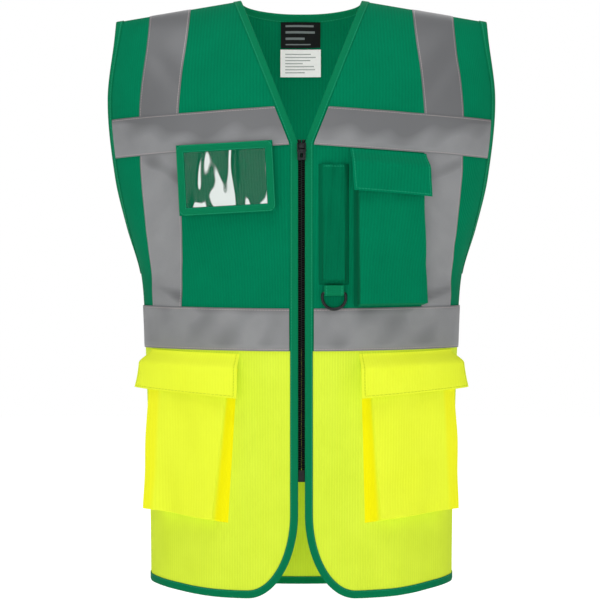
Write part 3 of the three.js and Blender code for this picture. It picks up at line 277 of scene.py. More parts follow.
def piece(name, points, faces, material, values=None, uv=None, sharp=40):
    """A mesh object from points in millimetres, with values by point as attributes and a UV map."""
    mesh = bpy.data.meshes.new(name)
    mesh.from_pydata((points / 1000).tolist(), [], faces.tolist() if isinstance(faces, np.ndarray) else faces)
    mesh.polygons.foreach_set("use_smooth", np.ones(len(mesh.polygons), bool))
    for key, data in (values or {}).items():
        layer = mesh.attributes.new(key, "FLOAT", "POINT")
        layer.data.foreach_set("value", np.asarray(data, np.float32).ravel())
    if uv is not None:
        corner = np.empty(len(mesh.loops), np.int32)
        mesh.loops.foreach_get("vertex_index", corner)
        layer = mesh.uv_layers.new(name="Grain")
        layer.uv.foreach_set("vector", uv.reshape(-1, 2)[corner].astype(np.float32).ravel())
    mesh.update()
    mesh.set_sharp_from_angle(angle=np.radians(sharp))
    mesh.materials.append(material)
    made = bpy.data.objects.new(name, mesh)
    bpy.context.scene.collection.objects.link(made)
    return made


def slab(name, outer, inner, material, values=None, uv=None, sharp=40):
    """A closed sheet between two grids of points: two faces and a rim round their border."""
    m, n = outer.shape[:2]
    points = np.concatenate([outer.reshape(-1, 3), inner.reshape(-1, 3)])
    top = sheet_faces(m, n)
    index = np.arange(m * n).reshape(m, n)
    border = np.concatenate([index[:-1, 0], index[-1, :-1], index[:0:-1, -1], index[0, :0:-1]])
    following = np.roll(border, -1)
    rim = np.stack([border, following, following + m * n, border + m * n], -1)[:, ::-1]
    faces = facing_out(points, np.concatenate([top, top[:, ::-1] + m * n, rim]))
    twice = {key: np.concatenate([np.ravel(data), np.ravel(data)]) for key, data in (values or {}).items()}
    both = None if uv is None else np.concatenate([uv.reshape(-1, 2), uv.reshape(-1, 2)])
    return piece(name, points, faces, material, twice, both, sharp)


def rod(name, rings, material, values=None, uv=None, closed=False, sharp=40):
    """A closed profile carried along a path: rings[i] is the profile at station i; its ends are capped."""
    n, k = rings.shape[:2]
    if closed:
        rings = np.concatenate([rings, rings[:1]])
    faces = sheet_faces(len(rings), k, wrap=True)
    if closed:
        faces = faces % (n * k)
        rings = rings[:-1]
    points = rings.reshape(-1, 3)
    turned = facing_out(points, faces)
    caps = [] if closed else [list(range(k)), list(range((n - 1) * k, n * k))[::-1]]
    if turned is not faces:
        caps = [cap[::-1] for cap in caps]
    return piece(name, points, turned.tolist() + caps, material, values, uv, sharp)


def rounded_copy(node, name, width, material):
    """A copy of a CAD piece, with its triangles merged into flat faces and its edges rounded."""
    mesh = frame["nodes"][node].data.copy()
    mesh.transform(frame["nodes"][node].matrix_world)
    work = bmesh.new()
    work.from_mesh(mesh)
    bmesh.ops.remove_doubles(work, verts=work.verts, dist=1e-6)
    bmesh.ops.dissolve_limit(work, angle_limit=0.02, verts=work.verts, edges=work.edges)
    bmesh.ops.recalc_face_normals(work, faces=work.faces)
    work.to_mesh(mesh)
    work.free()
    mesh.materials.clear()
    mesh.materials.append(material)
    made = bpy.data.objects.new(name, mesh)
    bpy.context.scene.collection.objects.link(made)
    bevel = made.modifiers.new("Rounded edges", "BEVEL")
    bevel.width = width / 1000
    bevel.segments = 3
    bevel.limit_method = "ANGLE"
    bevel.angle_limit = np.radians(35)
    bevel.use_clamp_overlap = True
    bevel.harden_normals = False
    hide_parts(node)
    return made


def grid(rows, columns):
    """Two arrays from 0 to 1, one value for each point of a grid of rows by columns."""
    return np.meshgrid(np.linspace(0, 1, rows), np.linspace(0, 1, columns), indexing="ij")


def unstitched(shape):
    """Values of a cloth with no stitches and no shade: every point far from a sewn edge."""
    return {"edge": np.ones(shape), "run": np.zeros(shape), "shade": np.zeros(shape)}


def stitched(edge, run, shade=0.0):
    """Values that place stitches: how far a point is from the edge and along it, in millimetres."""
    edge, run, shade = np.broadcast_arrays(edge, run, shade)
    return {"edge": edge / 1000, "run": run / 1000, "shade": shade}


def cloth(name, side, s, level, material):
    """A sheet of cloth over the body, half its thickness to each side of the folded shape."""
    outer, inner = (lay(side, s, level, height) for height in (CLOTH / 2, -CLOTH / 2))
    return slab(name, outer, inner, material, unstitched(s.shape), grain(side, s, level))


# ---------------------------------------------------------------- lines of the pattern


CHEST_TAPE_MIDDLE, CHEST_TAPE_SLOPE, CHEST_TAPE_TALL = -129.0, 0.068, 46.0
CHEST_HALF_WIDEST, CHEST_HALF_AT_TAPE = 229.0, float(half_width(-CHEST_TAPE_MIDDLE))
WAIST_TOP, WAIST_RISE = -368.0, 4.0


def chest_tape_top(x):
    return CHEST_TAPE_MIDDLE - CHEST_TAPE_SLOPE * np.abs(x)


def waist_tape_top(s):
    return WAIST_TOP + WAIST_RISE * np.sin(s * np.pi / 2) ** 2


def waist_seam(s):
    return waist_tape_top(s) - TAPE_WIDE


def neck_x(z):
    """Front edge from the middle: the straight V, then the upright edge beside the zip."""
    return mix(NECK_HALF, FRONT_EDGE, np.clip(-z / V_DROP, 0, 1))


HEM_END = float(half_width(HEM_DROP - HEM_RISE))
CORNER_END = FRONT_EDGE + CORNER_WIDE
CORNER_TOP = -HEM_DROP + CORNER_TALL


def front_edge_line(inset):
    """The lower front edge in (x, z): down from the waist seam, round an ellipse and along the hem."""
    down = np.linspace(float(waist_seam(0)), CORNER_TOP, 60)
    turn = np.linspace(0, np.pi / 2, 40)[1:]
    out = np.linspace(CORNER_END, HEM_END, 70)[1:]
    x = [np.full(60, FRONT_EDGE + inset), CORNER_END - (CORNER_WIDE - inset) * np.cos(turn), out]
    hem = -HEM_DROP + HEM_RISE * ((out - CORNER_END) / (HEM_END - CORNER_END)) ** 2 + inset
    z = [down, CORNER_TOP - (CORNER_TALL - inset) * np.sin(turn), hem]
    return np.concatenate(x), np.concatenate(z)


def back_hem(s):
    return -HEM_DROP + HEM_RISE * np.sin(s * np.pi / 2) ** 2


def even_along(x, z, count):
    """The same line with count points spaced evenly along it."""
    gone = np.concatenate([[0], np.cumsum(np.hypot(np.diff(x), np.diff(z)))])
    even = np.linspace(0, gone[-1], count)
    return np.interp(even, gone, x), np.interp(even, gone, z)


# ---------------------------------------------------------------- materials


def linear(code):
    """An sRGB hex colour as linear red, green, blue and alpha."""
    srgb = np.array([int(code[k : k + 2], 16) for k in (1, 3, 5)]) / 255
    rgb = np.where(srgb <= 0.04045, srgb / 12.92, ((srgb + 0.055) / 1.055) ** 2.4)
    return (*(float(v) for v in rgb), 1.0)


def add_node(tree, kind, settings=None, **links):
    """Adds a node, sets its properties, and links or sets its sockets.

    i0 is the first socket, and any other word is a socket's name, with _ for a space.
    """
    made = tree.nodes.new(kind)
    for key, value in (settings or {}).items():
        setattr(made, key, value)
    for key, value in links.items():
        socket = made.inputs[int(key[1:])] if key[1:].isdigit() else made.inputs[key.replace("_", " ")]
        if isinstance(value, bpy.types.NodeSocket):
            tree.links.new(value, socket)
        else:
            socket.default_value = value
    return made


# What a math, vector math or mix node does.
ADD, MULTIPLY, FRACT, FLOOR = ({"operation": word} for word in ("ADD", "MULTIPLY", "FRACT", "FLOOR"))
ABOVE, BELOW, LENGTH = ({"operation": word} for word in ("GREATER_THAN", "LESS_THAN", "LENGTH"))
COLOUR = {"data_type": "RGBA"}


def new_material(name, roughness, base, **fixed):
    """A material with its shader's fixed values set; returns it with its tree and shader."""
    material = bpy.data.materials.new(name)
    material.use_nodes = True
    tree = material.node_tree
    shader = tree.nodes["Principled BSDF"]
    shader.inputs["Roughness"].default_value = roughness
    shader.inputs["Base Color"].default_value = base
    for key, value in fixed.items():
        shader.inputs[key.replace("_", " ")].default_value = value
    material.diffuse_color = base
    return material, tree, shader


def between_values(tree, value, low, high):
    """1 where value lies between low and high, else 0."""
    above = add_node(tree, "ShaderNodeMath", ABOVE, i0=value, i1=low)
    below = add_node(tree, "ShaderNodeMath", BELOW, i0=value, i1=high)
    both = add_node(tree, "ShaderNodeMath", MULTIPLY, i0=above.outputs[0], i1=below.outputs[0])
    return both.outputs[0]


def stitch_mask(tree, from_edge, long=3.4, wide=0.9):
    """Dashes that follow an edge: from_edge millimetres in, long millimetres a stitch."""
    edge = add_node(tree, "ShaderNodeAttribute", {"attribute_name": "edge"}).outputs["Fac"]
    run = add_node(tree, "ShaderNodeAttribute", {"attribute_name": "run"}).outputs["Fac"]
    line = between_values(tree, edge, (from_edge - wide / 2) / 1000, (from_edge + wide / 2) / 1000)
    count = add_node(tree, "ShaderNodeMath", MULTIPLY, i0=run, i1=1000 / long)
    part = add_node(tree, "ShaderNodeMath", FRACT, i0=count.outputs[0])
    dash = add_node(tree, "ShaderNodeMath", BELOW, i0=part.outputs[0], i1=0.78)
    return add_node(tree, "ShaderNodeMath", MULTIPLY, i0=line, i1=dash.outputs[0]).outputs[0]


def bumps(tree, shader, *layers):
    """Layers of relief one over another, each as (height, strength, distance in metres)."""
    below = {}
    for height, strength, distance in layers:
        made = add_node(tree, "ShaderNodeBump", Height=height, Strength=strength, Distance=distance, **below)
        below = {"Normal": made.outputs[0]}
    tree.links.new(made.outputs[0], shader.inputs["Normal"])
    return made.outputs[0]


def knit(name, colour, dark, thread, gusset=None, glow=0.0, from_edge=2.5):
    """Warp-knitted polyester: matt and faintly fuzzy, with ribs down its length.

    Its wales are a millimetre apart and are drawn three times as coarse, so that they show.
    """
    material, tree, shader = new_material(
        name, 0.9, colour, Sheen_Weight=0.01, Sheen_Roughness=0.5, Specular_IOR_Level=0.03
    )
    grain_map = add_node(tree, "ShaderNodeUVMap", {"uv_map": "Grain"}).outputs["UV"]
    ribs = add_node(tree, "ShaderNodeTexWave", {"bands_direction": "X"}, Vector=grain_map)
    ribs.inputs["Scale"].default_value = 1 / (0.0032 * 3.18)
    ribs.inputs["Distortion"].default_value = 0.6
    ribs.inputs["Detail Scale"].default_value = 2.0
    long = add_node(tree, "ShaderNodeMapping", Vector=grain_map, Scale=(1.0, 0.25, 1.0))
    long = long.outputs[0]
    loops = add_node(tree, "ShaderNodeTexNoise", Vector=long, Scale=900.0, Detail=2.0, Roughness=0.6)
    cloud = add_node(tree, "ShaderNodeTexNoise", Vector=grain_map, Scale=22.0, Detail=3.0, Roughness=0.55)
    rib_shade = add_node(tree, "ShaderNodeMapRange", i0=ribs.outputs["Fac"], i3=0.0, i4=0.22)
    cloud = cloud.outputs["Fac"]
    cloud_shade = add_node(tree, "ShaderNodeMapRange", i0=cloud, i1=0.3, i2=0.7, i3=0.0, i4=0.2)
    shade = add_node(tree, "ShaderNodeMath", ADD, i0=rib_shade.outputs[0], i1=cloud_shade.outputs[0])
    base = add_node(tree, "ShaderNodeMix", COLOUR, i0=shade.outputs[0], i6=colour, i7=dark).outputs[2]
    # Painted shade: where a piece's shade value is set, as on pocket gussets, the colour turns towards the gusset
    # colour.
    if gusset:
        fold_shade_mask = add_node(tree, "ShaderNodeAttribute", {"attribute_name": "shade"}).outputs["Fac"]
        base = add_node(tree, "ShaderNodeMix", COLOUR, i0=fold_shade_mask, i6=base, i7=gusset).outputs[2]
    stitches = stitch_mask(tree, from_edge)
    base = add_node(tree, "ShaderNodeMix", COLOUR, i0=stitches, i6=base, i7=thread).outputs[2]
    tree.links.new(base, shader.inputs["Base Color"])
    # Painted glow: the knit gives off light in its own colour, standing in for the fluorescence of the yellow
    # cloth.
    if glow:
        tree.links.new(base, shader.inputs["Emission Color"])
        shader.inputs["Emission Strength"].default_value = glow
    yarn, rib = (loops.outputs["Fac"], 0.25, 0.0004), (ribs.outputs["Fac"], 0.35, 0.0004)
    bumps(tree, shader, yarn, rib, (stitches, 0.6, 0.0005))
    return material


def reflective(name, colour, dark, shaded, thread):
    """Glass-bead tape: a dense grey layer of beads with a low gloss, drawn as a grain, stitched edges, and painted
    shade where the tape leans back.
    """
    material, tree, shader = new_material(name, 0.46, colour, Metallic=0.15, Specular_IOR_Level=0.4)
    grain_map = add_node(tree, "ShaderNodeUVMap", {"uv_map": "Grain"}).outputs["UV"]
    beads = add_node(tree, "ShaderNodeTexNoise", Vector=grain_map, Scale=1400.0, Detail=1.0)
    cloud = add_node(tree, "ShaderNodeTexNoise", Vector=grain_map, Scale=30.0, Detail=3.0)
    cells = add_node(tree, "ShaderNodeMath", ADD, i0=beads.outputs["Fac"], i1=cloud.outputs["Fac"])
    share = add_node(tree, "ShaderNodeMapRange", i0=cells.outputs[0], i1=0.75, i2=1.25, i3=0.0, i4=0.5)
    stitches = stitch_mask(tree, 2.0, long=3.2, wide=0.8)
    base = add_node(tree, "ShaderNodeMix", COLOUR, i0=share.outputs[0], i6=colour, i7=dark).outputs[2]
    edge = add_node(tree, "ShaderNodeAttribute", {"attribute_name": "edge"}).outputs["Fac"]
    margin = between_values(tree, edge, -0.001, 0.0013)
    base = add_node(tree, "ShaderNodeMix", COLOUR, i0=margin, i6=base, i7=dark).outputs[2]
    # Painted shade: where the tape's normal points up, as on the chest band and the upper braces, its colour turns
    # to the shaded grey.
    facing = add_node(tree, "ShaderNodeNewGeometry").outputs["Normal"]
    tilt = add_node(tree, "ShaderNodeSeparateXYZ", Vector=facing)
    leaning_shade = add_node(tree, "ShaderNodeMapRange", i0=tilt.outputs["Z"], i1=-0.02, i2=0.06, i3=0.0, i4=1.0)
    base = add_node(tree, "ShaderNodeMix", COLOUR, i0=leaning_shade.outputs[0], i6=base, i7=shaded).outputs[2]
    base = add_node(tree, "ShaderNodeMix", COLOUR, i0=stitches, i6=base, i7=thread).outputs[2]
    tree.links.new(base, shader.inputs["Base Color"])
    bumps(tree, shader, (beads.outputs["Fac"], 0.15, 0.0003), (stitches, 0.7, 0.0004))
    return material


def woven(name, colour, dark, thread, pitch, from_edge=1.4, roughness=0.7):
    """Woven polyester tape: over-and-under threads a pitch in millimetres apart, matt, with stitches."""
    material, tree, shader = new_material(name, roughness, colour, Specular_IOR_Level=0.05)
    grain_map = add_node(tree, "ShaderNodeUVMap", {"uv_map": "Grain"}).outputs["UV"]
    size = 1 / (pitch / 1000 * 3.18)
    warp = add_node(tree, "ShaderNodeTexWave", {"bands_direction": "X"}, Vector=grain_map, Scale=size)
    weft = add_node(tree, "ShaderNodeTexWave", {"bands_direction": "Y"}, Vector=grain_map, Scale=size)
    weave = add_node(tree, "ShaderNodeMath", MULTIPLY, i0=warp.outputs["Fac"], i1=weft.outputs["Fac"])
    stitches = stitch_mask(tree, from_edge, wide=0.8)
    shade = add_node(tree, "ShaderNodeMapRange", i0=weave.outputs[0], i3=0.0, i4=0.5)
    base = add_node(tree, "ShaderNodeMix", COLOUR, i0=shade.outputs[0], i6=colour, i7=dark).outputs[2]
    base = add_node(tree, "ShaderNodeMix", COLOUR, i0=stitches, i6=base, i7=thread).outputs[2]
    tree.links.new(base, shader.inputs["Base Color"])
    bumps(tree, shader, (weave.outputs[0], 0.4, 0.0003), (stitches, 0.5, 0.0004))
    return material


def moulded(name, colour, worn, roughness, metallic=0.0):
    """Moulded nylon or coated die-cast metal: near black, satin, greyer in patches where it is rubbed."""
    material, tree, shader = new_material(
        name, roughness, colour, Metallic=metallic, Specular_IOR_Level=0.3
    )
    place = add_node(tree, "ShaderNodeTexCoord").outputs["Object"]
    patches = add_node(tree, "ShaderNodeTexNoise", Vector=place, Scale=260.0, Detail=4.0)
    share = add_node(tree, "ShaderNodeMapRange", i0=patches.outputs["Fac"], i1=0.45, i2=0.75, i3=0.0, i4=0.8)
    base = add_node(tree, "ShaderNodeMix", COLOUR, i0=share.outputs[0], i6=colour, i7=worn).outputs[2]
    tree.links.new(base, shader.inputs["Base Color"])
    bumps(tree, shader, (patches.outputs["Fac"], 0.12, 0.0002))
    return material


def clear_film(name, tint, streak_highlight):
    """Clear plasticised PVC film: glossy and a little cloudy, with long soft ripples that catch the light, and
    pale streaks painted along their crests as highlights.
    """
    material, tree, shader = new_material(name, 0.1, tint, IOR=1.45, Coat_Weight=0.15)
    shader.inputs["Coat Roughness"].default_value = 0.05
    place = add_node(tree, "ShaderNodeTexCoord").outputs["Object"]
    stretch = {"Rotation": (0.0, -0.35, 0.0), "Scale": (30.0, 14.0, 10.0)}
    turned = add_node(tree, "ShaderNodeMapping", Vector=place, **stretch).outputs[0]
    ripple = add_node(tree, "ShaderNodeTexNoise", Vector=turned, Scale=1.3, Detail=1.2, Distortion=0.9)
    # Painted highlight: along the ripples' crests the film turns pale and more opaque, standing in for the lamps'
    # reflections, drawn as cloudy creases.
    crease = add_node(tree, "ShaderNodeMapRange", i0=ripple.outputs["Fac"], i1=0.535, i2=0.575)
    clouded = add_node(tree, "ShaderNodeMapRange", i0=crease.outputs[0], i3=0.22, i4=0.78)
    tree.links.new(clouded.outputs[0], shader.inputs["Alpha"])
    base = add_node(tree, "ShaderNodeMix", COLOUR, i0=crease.outputs[0], i6=tint, i7=streak_highlight).outputs[2]
    tree.links.new(base, shader.inputs["Base Color"])
    rippled = bumps(tree, shader, (ripple.outputs["Fac"], 0.8, 0.004))
    tree.links.new(rippled, shader.inputs["Coat Normal"])
    return material


def label_material(name, ground, mark, rows):
    """A satin-woven label: an even ground with plain bars of yarn in place of print, some rows of them."""
    satin = {"Sheen_Weight": 0.02, "Specular_IOR_Level": 0.15}
    material, tree, shader = new_material(name, 0.6, ground, **satin)
    place = add_node(tree, "ShaderNodeUVMap", {"uv_map": "Grain"}).outputs["UV"]
    parts = add_node(tree, "ShaderNodeSeparateXYZ", Vector=place)
    count = add_node(tree, "ShaderNodeMath", MULTIPLY, i0=parts.outputs["Y"], i1=float(rows))
    row = add_node(tree, "ShaderNodeMath", FLOOR, i0=count.outputs[0])
    part = add_node(tree, "ShaderNodeMath", FRACT, i0=count.outputs[0])
    bar = between_values(tree, part.outputs[0], 0.3, 0.66)
    ragged = add_node(tree, "ShaderNodeTexWhiteNoise", {"noise_dimensions": "1D"}, W=row.outputs[0])
    longest = add_node(tree, "ShaderNodeMapRange", i0=ragged.outputs["Value"], i3=0.55, i4=0.9)
    left = add_node(tree, "ShaderNodeMath", ABOVE, i0=parts.outputs["X"], i1=0.12)
    right = add_node(tree, "ShaderNodeMath", BELOW, i0=parts.outputs["X"], i1=longest.outputs[0])
    inside = between_values(tree, parts.outputs["Y"], 0.12, 0.9)
    mask = bar
    for other in (left.outputs[0], right.outputs[0], inside):
        mask = add_node(tree, "ShaderNodeMath", MULTIPLY, i0=mask, i1=other).outputs[0]
    threads = add_node(tree, "ShaderNodeTexNoise", Vector=place, Scale=160.0, Detail=2.0)
    faded = add_node(tree, "ShaderNodeMath", MULTIPLY, i0=mask, i1=0.8)
    base = add_node(tree, "ShaderNodeMix", COLOUR, i0=faded.outputs[0], i6=ground, i7=mark).outputs[2]
    tree.links.new(base, shader.inputs["Base Color"])
    bumps(tree, shader, (threads.outputs["Fac"], 0.2, 0.0002))
    return material


def hook_and_loop(name, colour, worn):
    """Hook and loop tape: a dense pile of nylon hooks, drawn as half-millimetre specks; rough and dark."""
    material, tree, shader = new_material(name, 0.9, colour, Sheen_Weight=0.3)
    place = add_node(tree, "ShaderNodeTexCoord").outputs["Object"]
    hooks = add_node(tree, "ShaderNodeTexVoronoi", Vector=place, Scale=900.0)
    near = hooks.outputs["Distance"]
    base = add_node(tree, "ShaderNodeMix", COLOUR, i0=near, i6=colour, i7=worn).outputs[2]
    tree.links.new(base, shader.inputs["Base Color"])
    bumps(tree, shader, (hooks.outputs["Distance"], 0.9, 0.0006))
    return material


FLUORESCENT_GLOW = 0.1  # painted glow: light that the yellow gives off of its own, as a share of its own colour, whatever the lamps; it stands in for the fluorescence of the real cloth
MADE = {}


def finish_of(name):
    """A material of the vest by its plain name, made the first time it is asked for."""
    if name not in MADE:
        c = {key: tuple(getattr(colours(), key)) for key in VestColours.__annotations__}
        greens = c["green"], c["green_deep"], c["green_thread"]
        webs = c["binding"], c["green_deep"], c["green_thread"]
        yellows = c["yellow"], c["yellow_deep"], c["yellow_thread"], c["gusset"]
        pockets = c["pocket_yellow"], c["pocket_deep"], c["yellow_thread"], c["gusset"]
        tapes = c["tape"], c["tape_dark"], c["tape_tilted"], c["tape_thread"]

        def hexes(*codes):
            return tuple(linear(code) for code in codes)

        blacks = hexes("#08100c", "#030706", "#0c1712")
        recipes = {
            # The deep green is also the green knit's gusset colour: painted shade on the green pockets.
            "green_knit": lambda: knit("green_polyester_knit", *greens, c["green_deep"]),
            "yellow_knit": lambda: knit("fluorescent_yellow_knit", *yellows, glow=FLUORESCENT_GLOW),
            "pocket_knit": lambda: knit("yellow_pocket_knit", *pockets, glow=FLUORESCENT_GLOW),
            "binding": lambda: woven("green_woven_binding", *webs, 1.6),
            "tape": lambda: reflective("glass_bead_tape", *tapes),
            "zip_cloth": lambda: woven("black_zip_tape", *blacks, 1.5, 3.0, 0.9),
            "nylon": lambda: moulded("black_moulded_nylon", *hexes("#060a08", "#151c18"), 0.5),
            "coated": lambda: moulded("black_coated_zinc", *hexes("#0c1213", "#2b3132"), 0.34, 0.4),
            "ring_nylon": lambda: moulded("black_acetal", *hexes("#111415", "#22282a"), 0.36),
            # The film's second colour is the painted highlight of its streaks.
            "film": lambda: clear_film("clear_pvc_film", *hexes("#0b5b3d", "#e8efec")),
            "hooks": lambda: hook_and_loop("black_hook_and_loop", *hexes("#0d1012", "#30363a")),
            "webbing": lambda: woven("green_webbing", *webs, 2.2, 2.5),
            "size_label": lambda: label_material("black_satin_label", *hexes("#0b0d10", "#848b8d"), 4),
            "care_label": lambda: label_material("white_satin_label", *hexes("#fffcfd", "#8b9291"), 9),
        }
        MADE[name] = recipes[name]()
    return MADE[name]


# ---------------------------------------------------------------- settings


def sizes():
    return bpy.context.scene.vest_sizes


def colours():
    return bpy.context.scene.vest_colours


def colour_of(name, text, code):
    """A colour that a user can change, from its sRGB hex value."""
    return bpy.props.FloatVectorProperty(
        name=name, description=text, subtype="COLOR", size=4, min=0, max=1, default=linear(code)
    )


class VestSizes(bpy.types.PropertyGroup):
    """Sizes of the vest's cloth that can change without changing its outline."""

    fold_depth: bpy.props.FloatProperty(
        name="Fold depth",
        description="How deep the soft folds are, against their usual depth",
        default=1.0,
        subtype="FACTOR",
    )
    pocket_slump: bpy.props.FloatProperty(
        name="Pocket slump",
        description="How far a pocket's front sags",
        default=0.0022,
        unit="LENGTH",
        precision=4,
    )
    tooth_pitch: bpy.props.FloatProperty(
        name="Tooth pitch",
        description="From one zip tooth to the next",
        default=0.0026,
        unit="LENGTH",
        precision=4,
    )


class VestColours(bpy.types.PropertyGroup):
    """Colours of the vest's cloths."""

    green: colour_of("Green", "Upper part of the vest", "#007c55")
    # Deep green serves for the rib grooves and as painted shade on the green pockets.
    green_deep: colour_of("Deep green", "Between the green knit's ribs", "#005f40")
    green_thread: colour_of("Green thread", "Stitches on the green cloth", "#1b8f68")
    yellow: colour_of("Yellow", "Lower part of the vest", "#d9ee42")
    yellow_deep: colour_of("Deep yellow", "Between the yellow knit's ribs", "#bfd726")
    yellow_thread: colour_of("Yellow thread", "Stitches on the yellow cloth", "#c9d92a")
    pocket_yellow: colour_of("Pocket yellow", "Lower pockets and their flaps", "#e6f33c")
    pocket_deep: colour_of("Deep pocket yellow", "Between the ribs of the lower pockets", "#dbe722")
    # Painted shade: the saturated yellow that the pocket gussets show in their shade.
    gusset: colour_of("Gusset shade yellow", "Inside the folds of the yellow pockets", "#f2e800")
    binding: colour_of("Binding green", "Woven binding round the edges", "#047a50")
    tape: colour_of("Tape grey", "Reflective tape", "#8d8e90")
    tape_dark: colour_of("Dark tape grey", "Shade in the reflective tape", "#77787a")
    # Painted shade: the grey of reflective tape where it leans back and takes less light.
    tape_tilted: colour_of("Tilted tape grey", "Reflective tape where it leans back", "#6c6d6f")
    tape_thread: colour_of("Tape thread", "Stitches on the reflective tape", "#a59b9a")


def ride_front(made):
    """The piece keeps its place: its transform is baked into its mesh, and it is attached to no body."""
    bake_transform(made)


def ride_side(made, side):
    """A piece of the upper half: one on a front has its transform baked, and one on the back is attached to the
    back.
    """
    if side == FRONT:
        ride_front(made)
    else:
        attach(made, "back")


class VestOperator:
    bl_options = {"REGISTER", "UNDO"}


# ---------------------------------------------------------------- shell


class VEST_OT_shell(VestOperator, bpy.types.Operator):
    """Makes the knitted shell: two fronts, each in two parts, and a back in two parts"""

    bl_idname = "vest.shell"
    bl_label = "Shell"

    def execute(self, context):
        for word, hand in SIDES:
            self.upper_front(word, hand)
            self.lower_front(word, hand)
            self.side_seam(word, hand)
        self.upper_back()
        self.lower_back()
        return {"FINISHED"}

    def upper_front(self, word, hand):
        # Rows run from the neckline to the armhole, closer together where the cloth turns over the shoulder.
        turn = V_DROP / -float(waist_seam(0))
        rows = np.concatenate([np.linspace(0, np.sqrt(turn), 80) ** 2, np.linspace(turn, 1, 60)[1:]])[:, None]
        across = np.linspace(0, 1, 64)[None, :]
        inner_z = rows * float(waist_seam(0))
        inner_s, inner_level = seen(neck_x(inner_z), inner_z)
        outer_level = rows * -float(waist_seam(1))
        s = mix(inner_s, 1.0, across)
        level = mix(inner_level, outer_level, across)
        made = cloth(f"front_{word}_upper", FRONT, hand * s, level, finish_of("green_knit"))
        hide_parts(f"front_{word}_shoulder", f"front_{word}_upper_panel")
        ride_front(made)

    def lower_front(self, word, hand):
        # A Coons patch: the sum of the places on the four edges less the sum of the corners.
        x, z = front_edge_line(0)
        x, z = even_along(x, z, 241)
        gone = np.concatenate([[0], np.cumsum(np.hypot(np.diff(x), np.diff(z)))])
        middle = int(np.argmin(np.abs(np.arctan2(CORNER_TOP - z, (CORNER_END - x).clip(0.1)) - np.pi / 3.2)))
        v = np.linspace(0, 1, 90)[:, None]
        u = np.linspace(0, 1, 80)[None, :]
        inner_at = np.interp(v[:, 0] * gone[middle], gone, np.arange(len(x)))
        hem_at = np.interp(gone[middle] + u[0] * (gone[-1] - gone[middle]), gone, np.arange(len(x)))
        index = np.arange(len(x))
        inner, bottom = (
            np.stack(seen(np.interp(at, index, x), np.interp(at, index, z))) for at in (inner_at, hem_at)
        )
        inner, bottom = inner[:, :, None], bottom[:, None, :]
        top_s = mix(inner[0, 0, 0], 1.0, u)
        top = np.stack([top_s, -waist_seam(top_s)])
        outer = np.stack([np.ones_like(v), mix(-waist_seam(1.0), bottom[1, 0, -1], v)])
        corners = mix(mix(top[:, :, :1], top[:, :, -1:], u), mix(bottom[:, :, :1], bottom[:, :, -1:], u), v)
        s, level = mix(top, bottom, v) + mix(inner, outer, u) - corners
        made = cloth(f"front_{word}_lower", FRONT, hand * s, level, finish_of("yellow_knit"))
        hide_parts(f"front_{word}_lower_panel")
        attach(made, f"front_{word}")

    def side_seam(self, word, hand):
        # The seam's turned-in cloth: a strip inside each side that bends from the back to the front.
        waist, hem = -float(waist_seam(1)), -float(back_hem(1)) - BINDING_WIDE
        for name, top, bottom, finish, slot in (
            (f"side_seam_{word}_upper", ARMPIT_DROP + 1, waist, "green_knit", "green_fabric"),
            (f"side_seam_{word}_lower", waist, hem, "yellow_knit", "yellow_fabric"),
        ):
            level = np.linspace(top, bottom, 60)[:, None]
            one = np.ones_like(level)
            places = []
            for side in (FRONT, BACK):
                s = mix(one, step_across(side, one, level, -SEAM_STRIP), np.linspace(0, 1, 7)[None, :])
                places.append([lay(side, hand * s, level, height) for height in SEAM_STRIP_HEIGHTS])
            outer, inner = (np.concatenate([places[0][k][:, ::-1], places[1][k][:, 1:]], 1) for k in (0, 1))
            across = np.linspace(0, 2 * SEAM_STRIP, outer.shape[1])[None, :]
            uv = np.stack(np.broadcast_arrays(across, -level), -1) / 1000
            flat = unstitched(outer.shape[:2])
            made = slab(name, outer, inner, finish_of(finish), flat, uv)
            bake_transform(made)

    def upper_back(self):
        # Columns start evenly along the neckline and the shoulder seams, and are even across from mid-height.
        column = np.linspace(-1, 1, 121)[None, :]
        far = np.abs(column)
        neck_end = 0.36
        turn = (1 - (1 - np.clip(far / neck_end, 0, 1)) ** 2) * np.pi / 2
        x = NECK_HALF * np.sin(turn)
        neck_s, neck_level = seen(x, -BACK_NECK_DROP * np.cos(turn))
        start = np.arcsin(NECK_HALF / half_width(0.0)) * 2 / np.pi
        seam_s = mix(start, 1.0, np.clip((far - neck_end) / (1 - neck_end), 0, 1))
        top_s = np.where(far <= neck_end, neck_s, seam_s)
        top_level = np.where(far <= neck_end, neck_level, 0)
        down = (np.linspace(0, 1, 130) ** 1.7)[:, None]
        s = np.sign(column) * mix(top_s, far, smooth(down, 0, 0.5))
        level = mix(top_level, -waist_seam(s), down)
        made = cloth("back_upper", BACK, s, level, finish_of("green_knit"))
        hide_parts("back_yoke", "back_upper_panel")
        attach(made, "back")

    def lower_back(self):
        v, u = grid(70, 121)
        s = 2 * u - 1
        level = mix(-waist_seam(s), -back_hem(s), v)
        made = cloth("back_lower", BACK, s, level, finish_of("yellow_knit"))
        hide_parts("back_lower_panel")
        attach(made, "back")


# ---------------------------------------------------------------- bindings


BINDING_WIDE, BINDING_HALF, BINDING_CLOTH = 8.0, 1.25, 0.55
BINDING_REACH = 0.15  # how far past the cloth's edge the binding's round edge starts


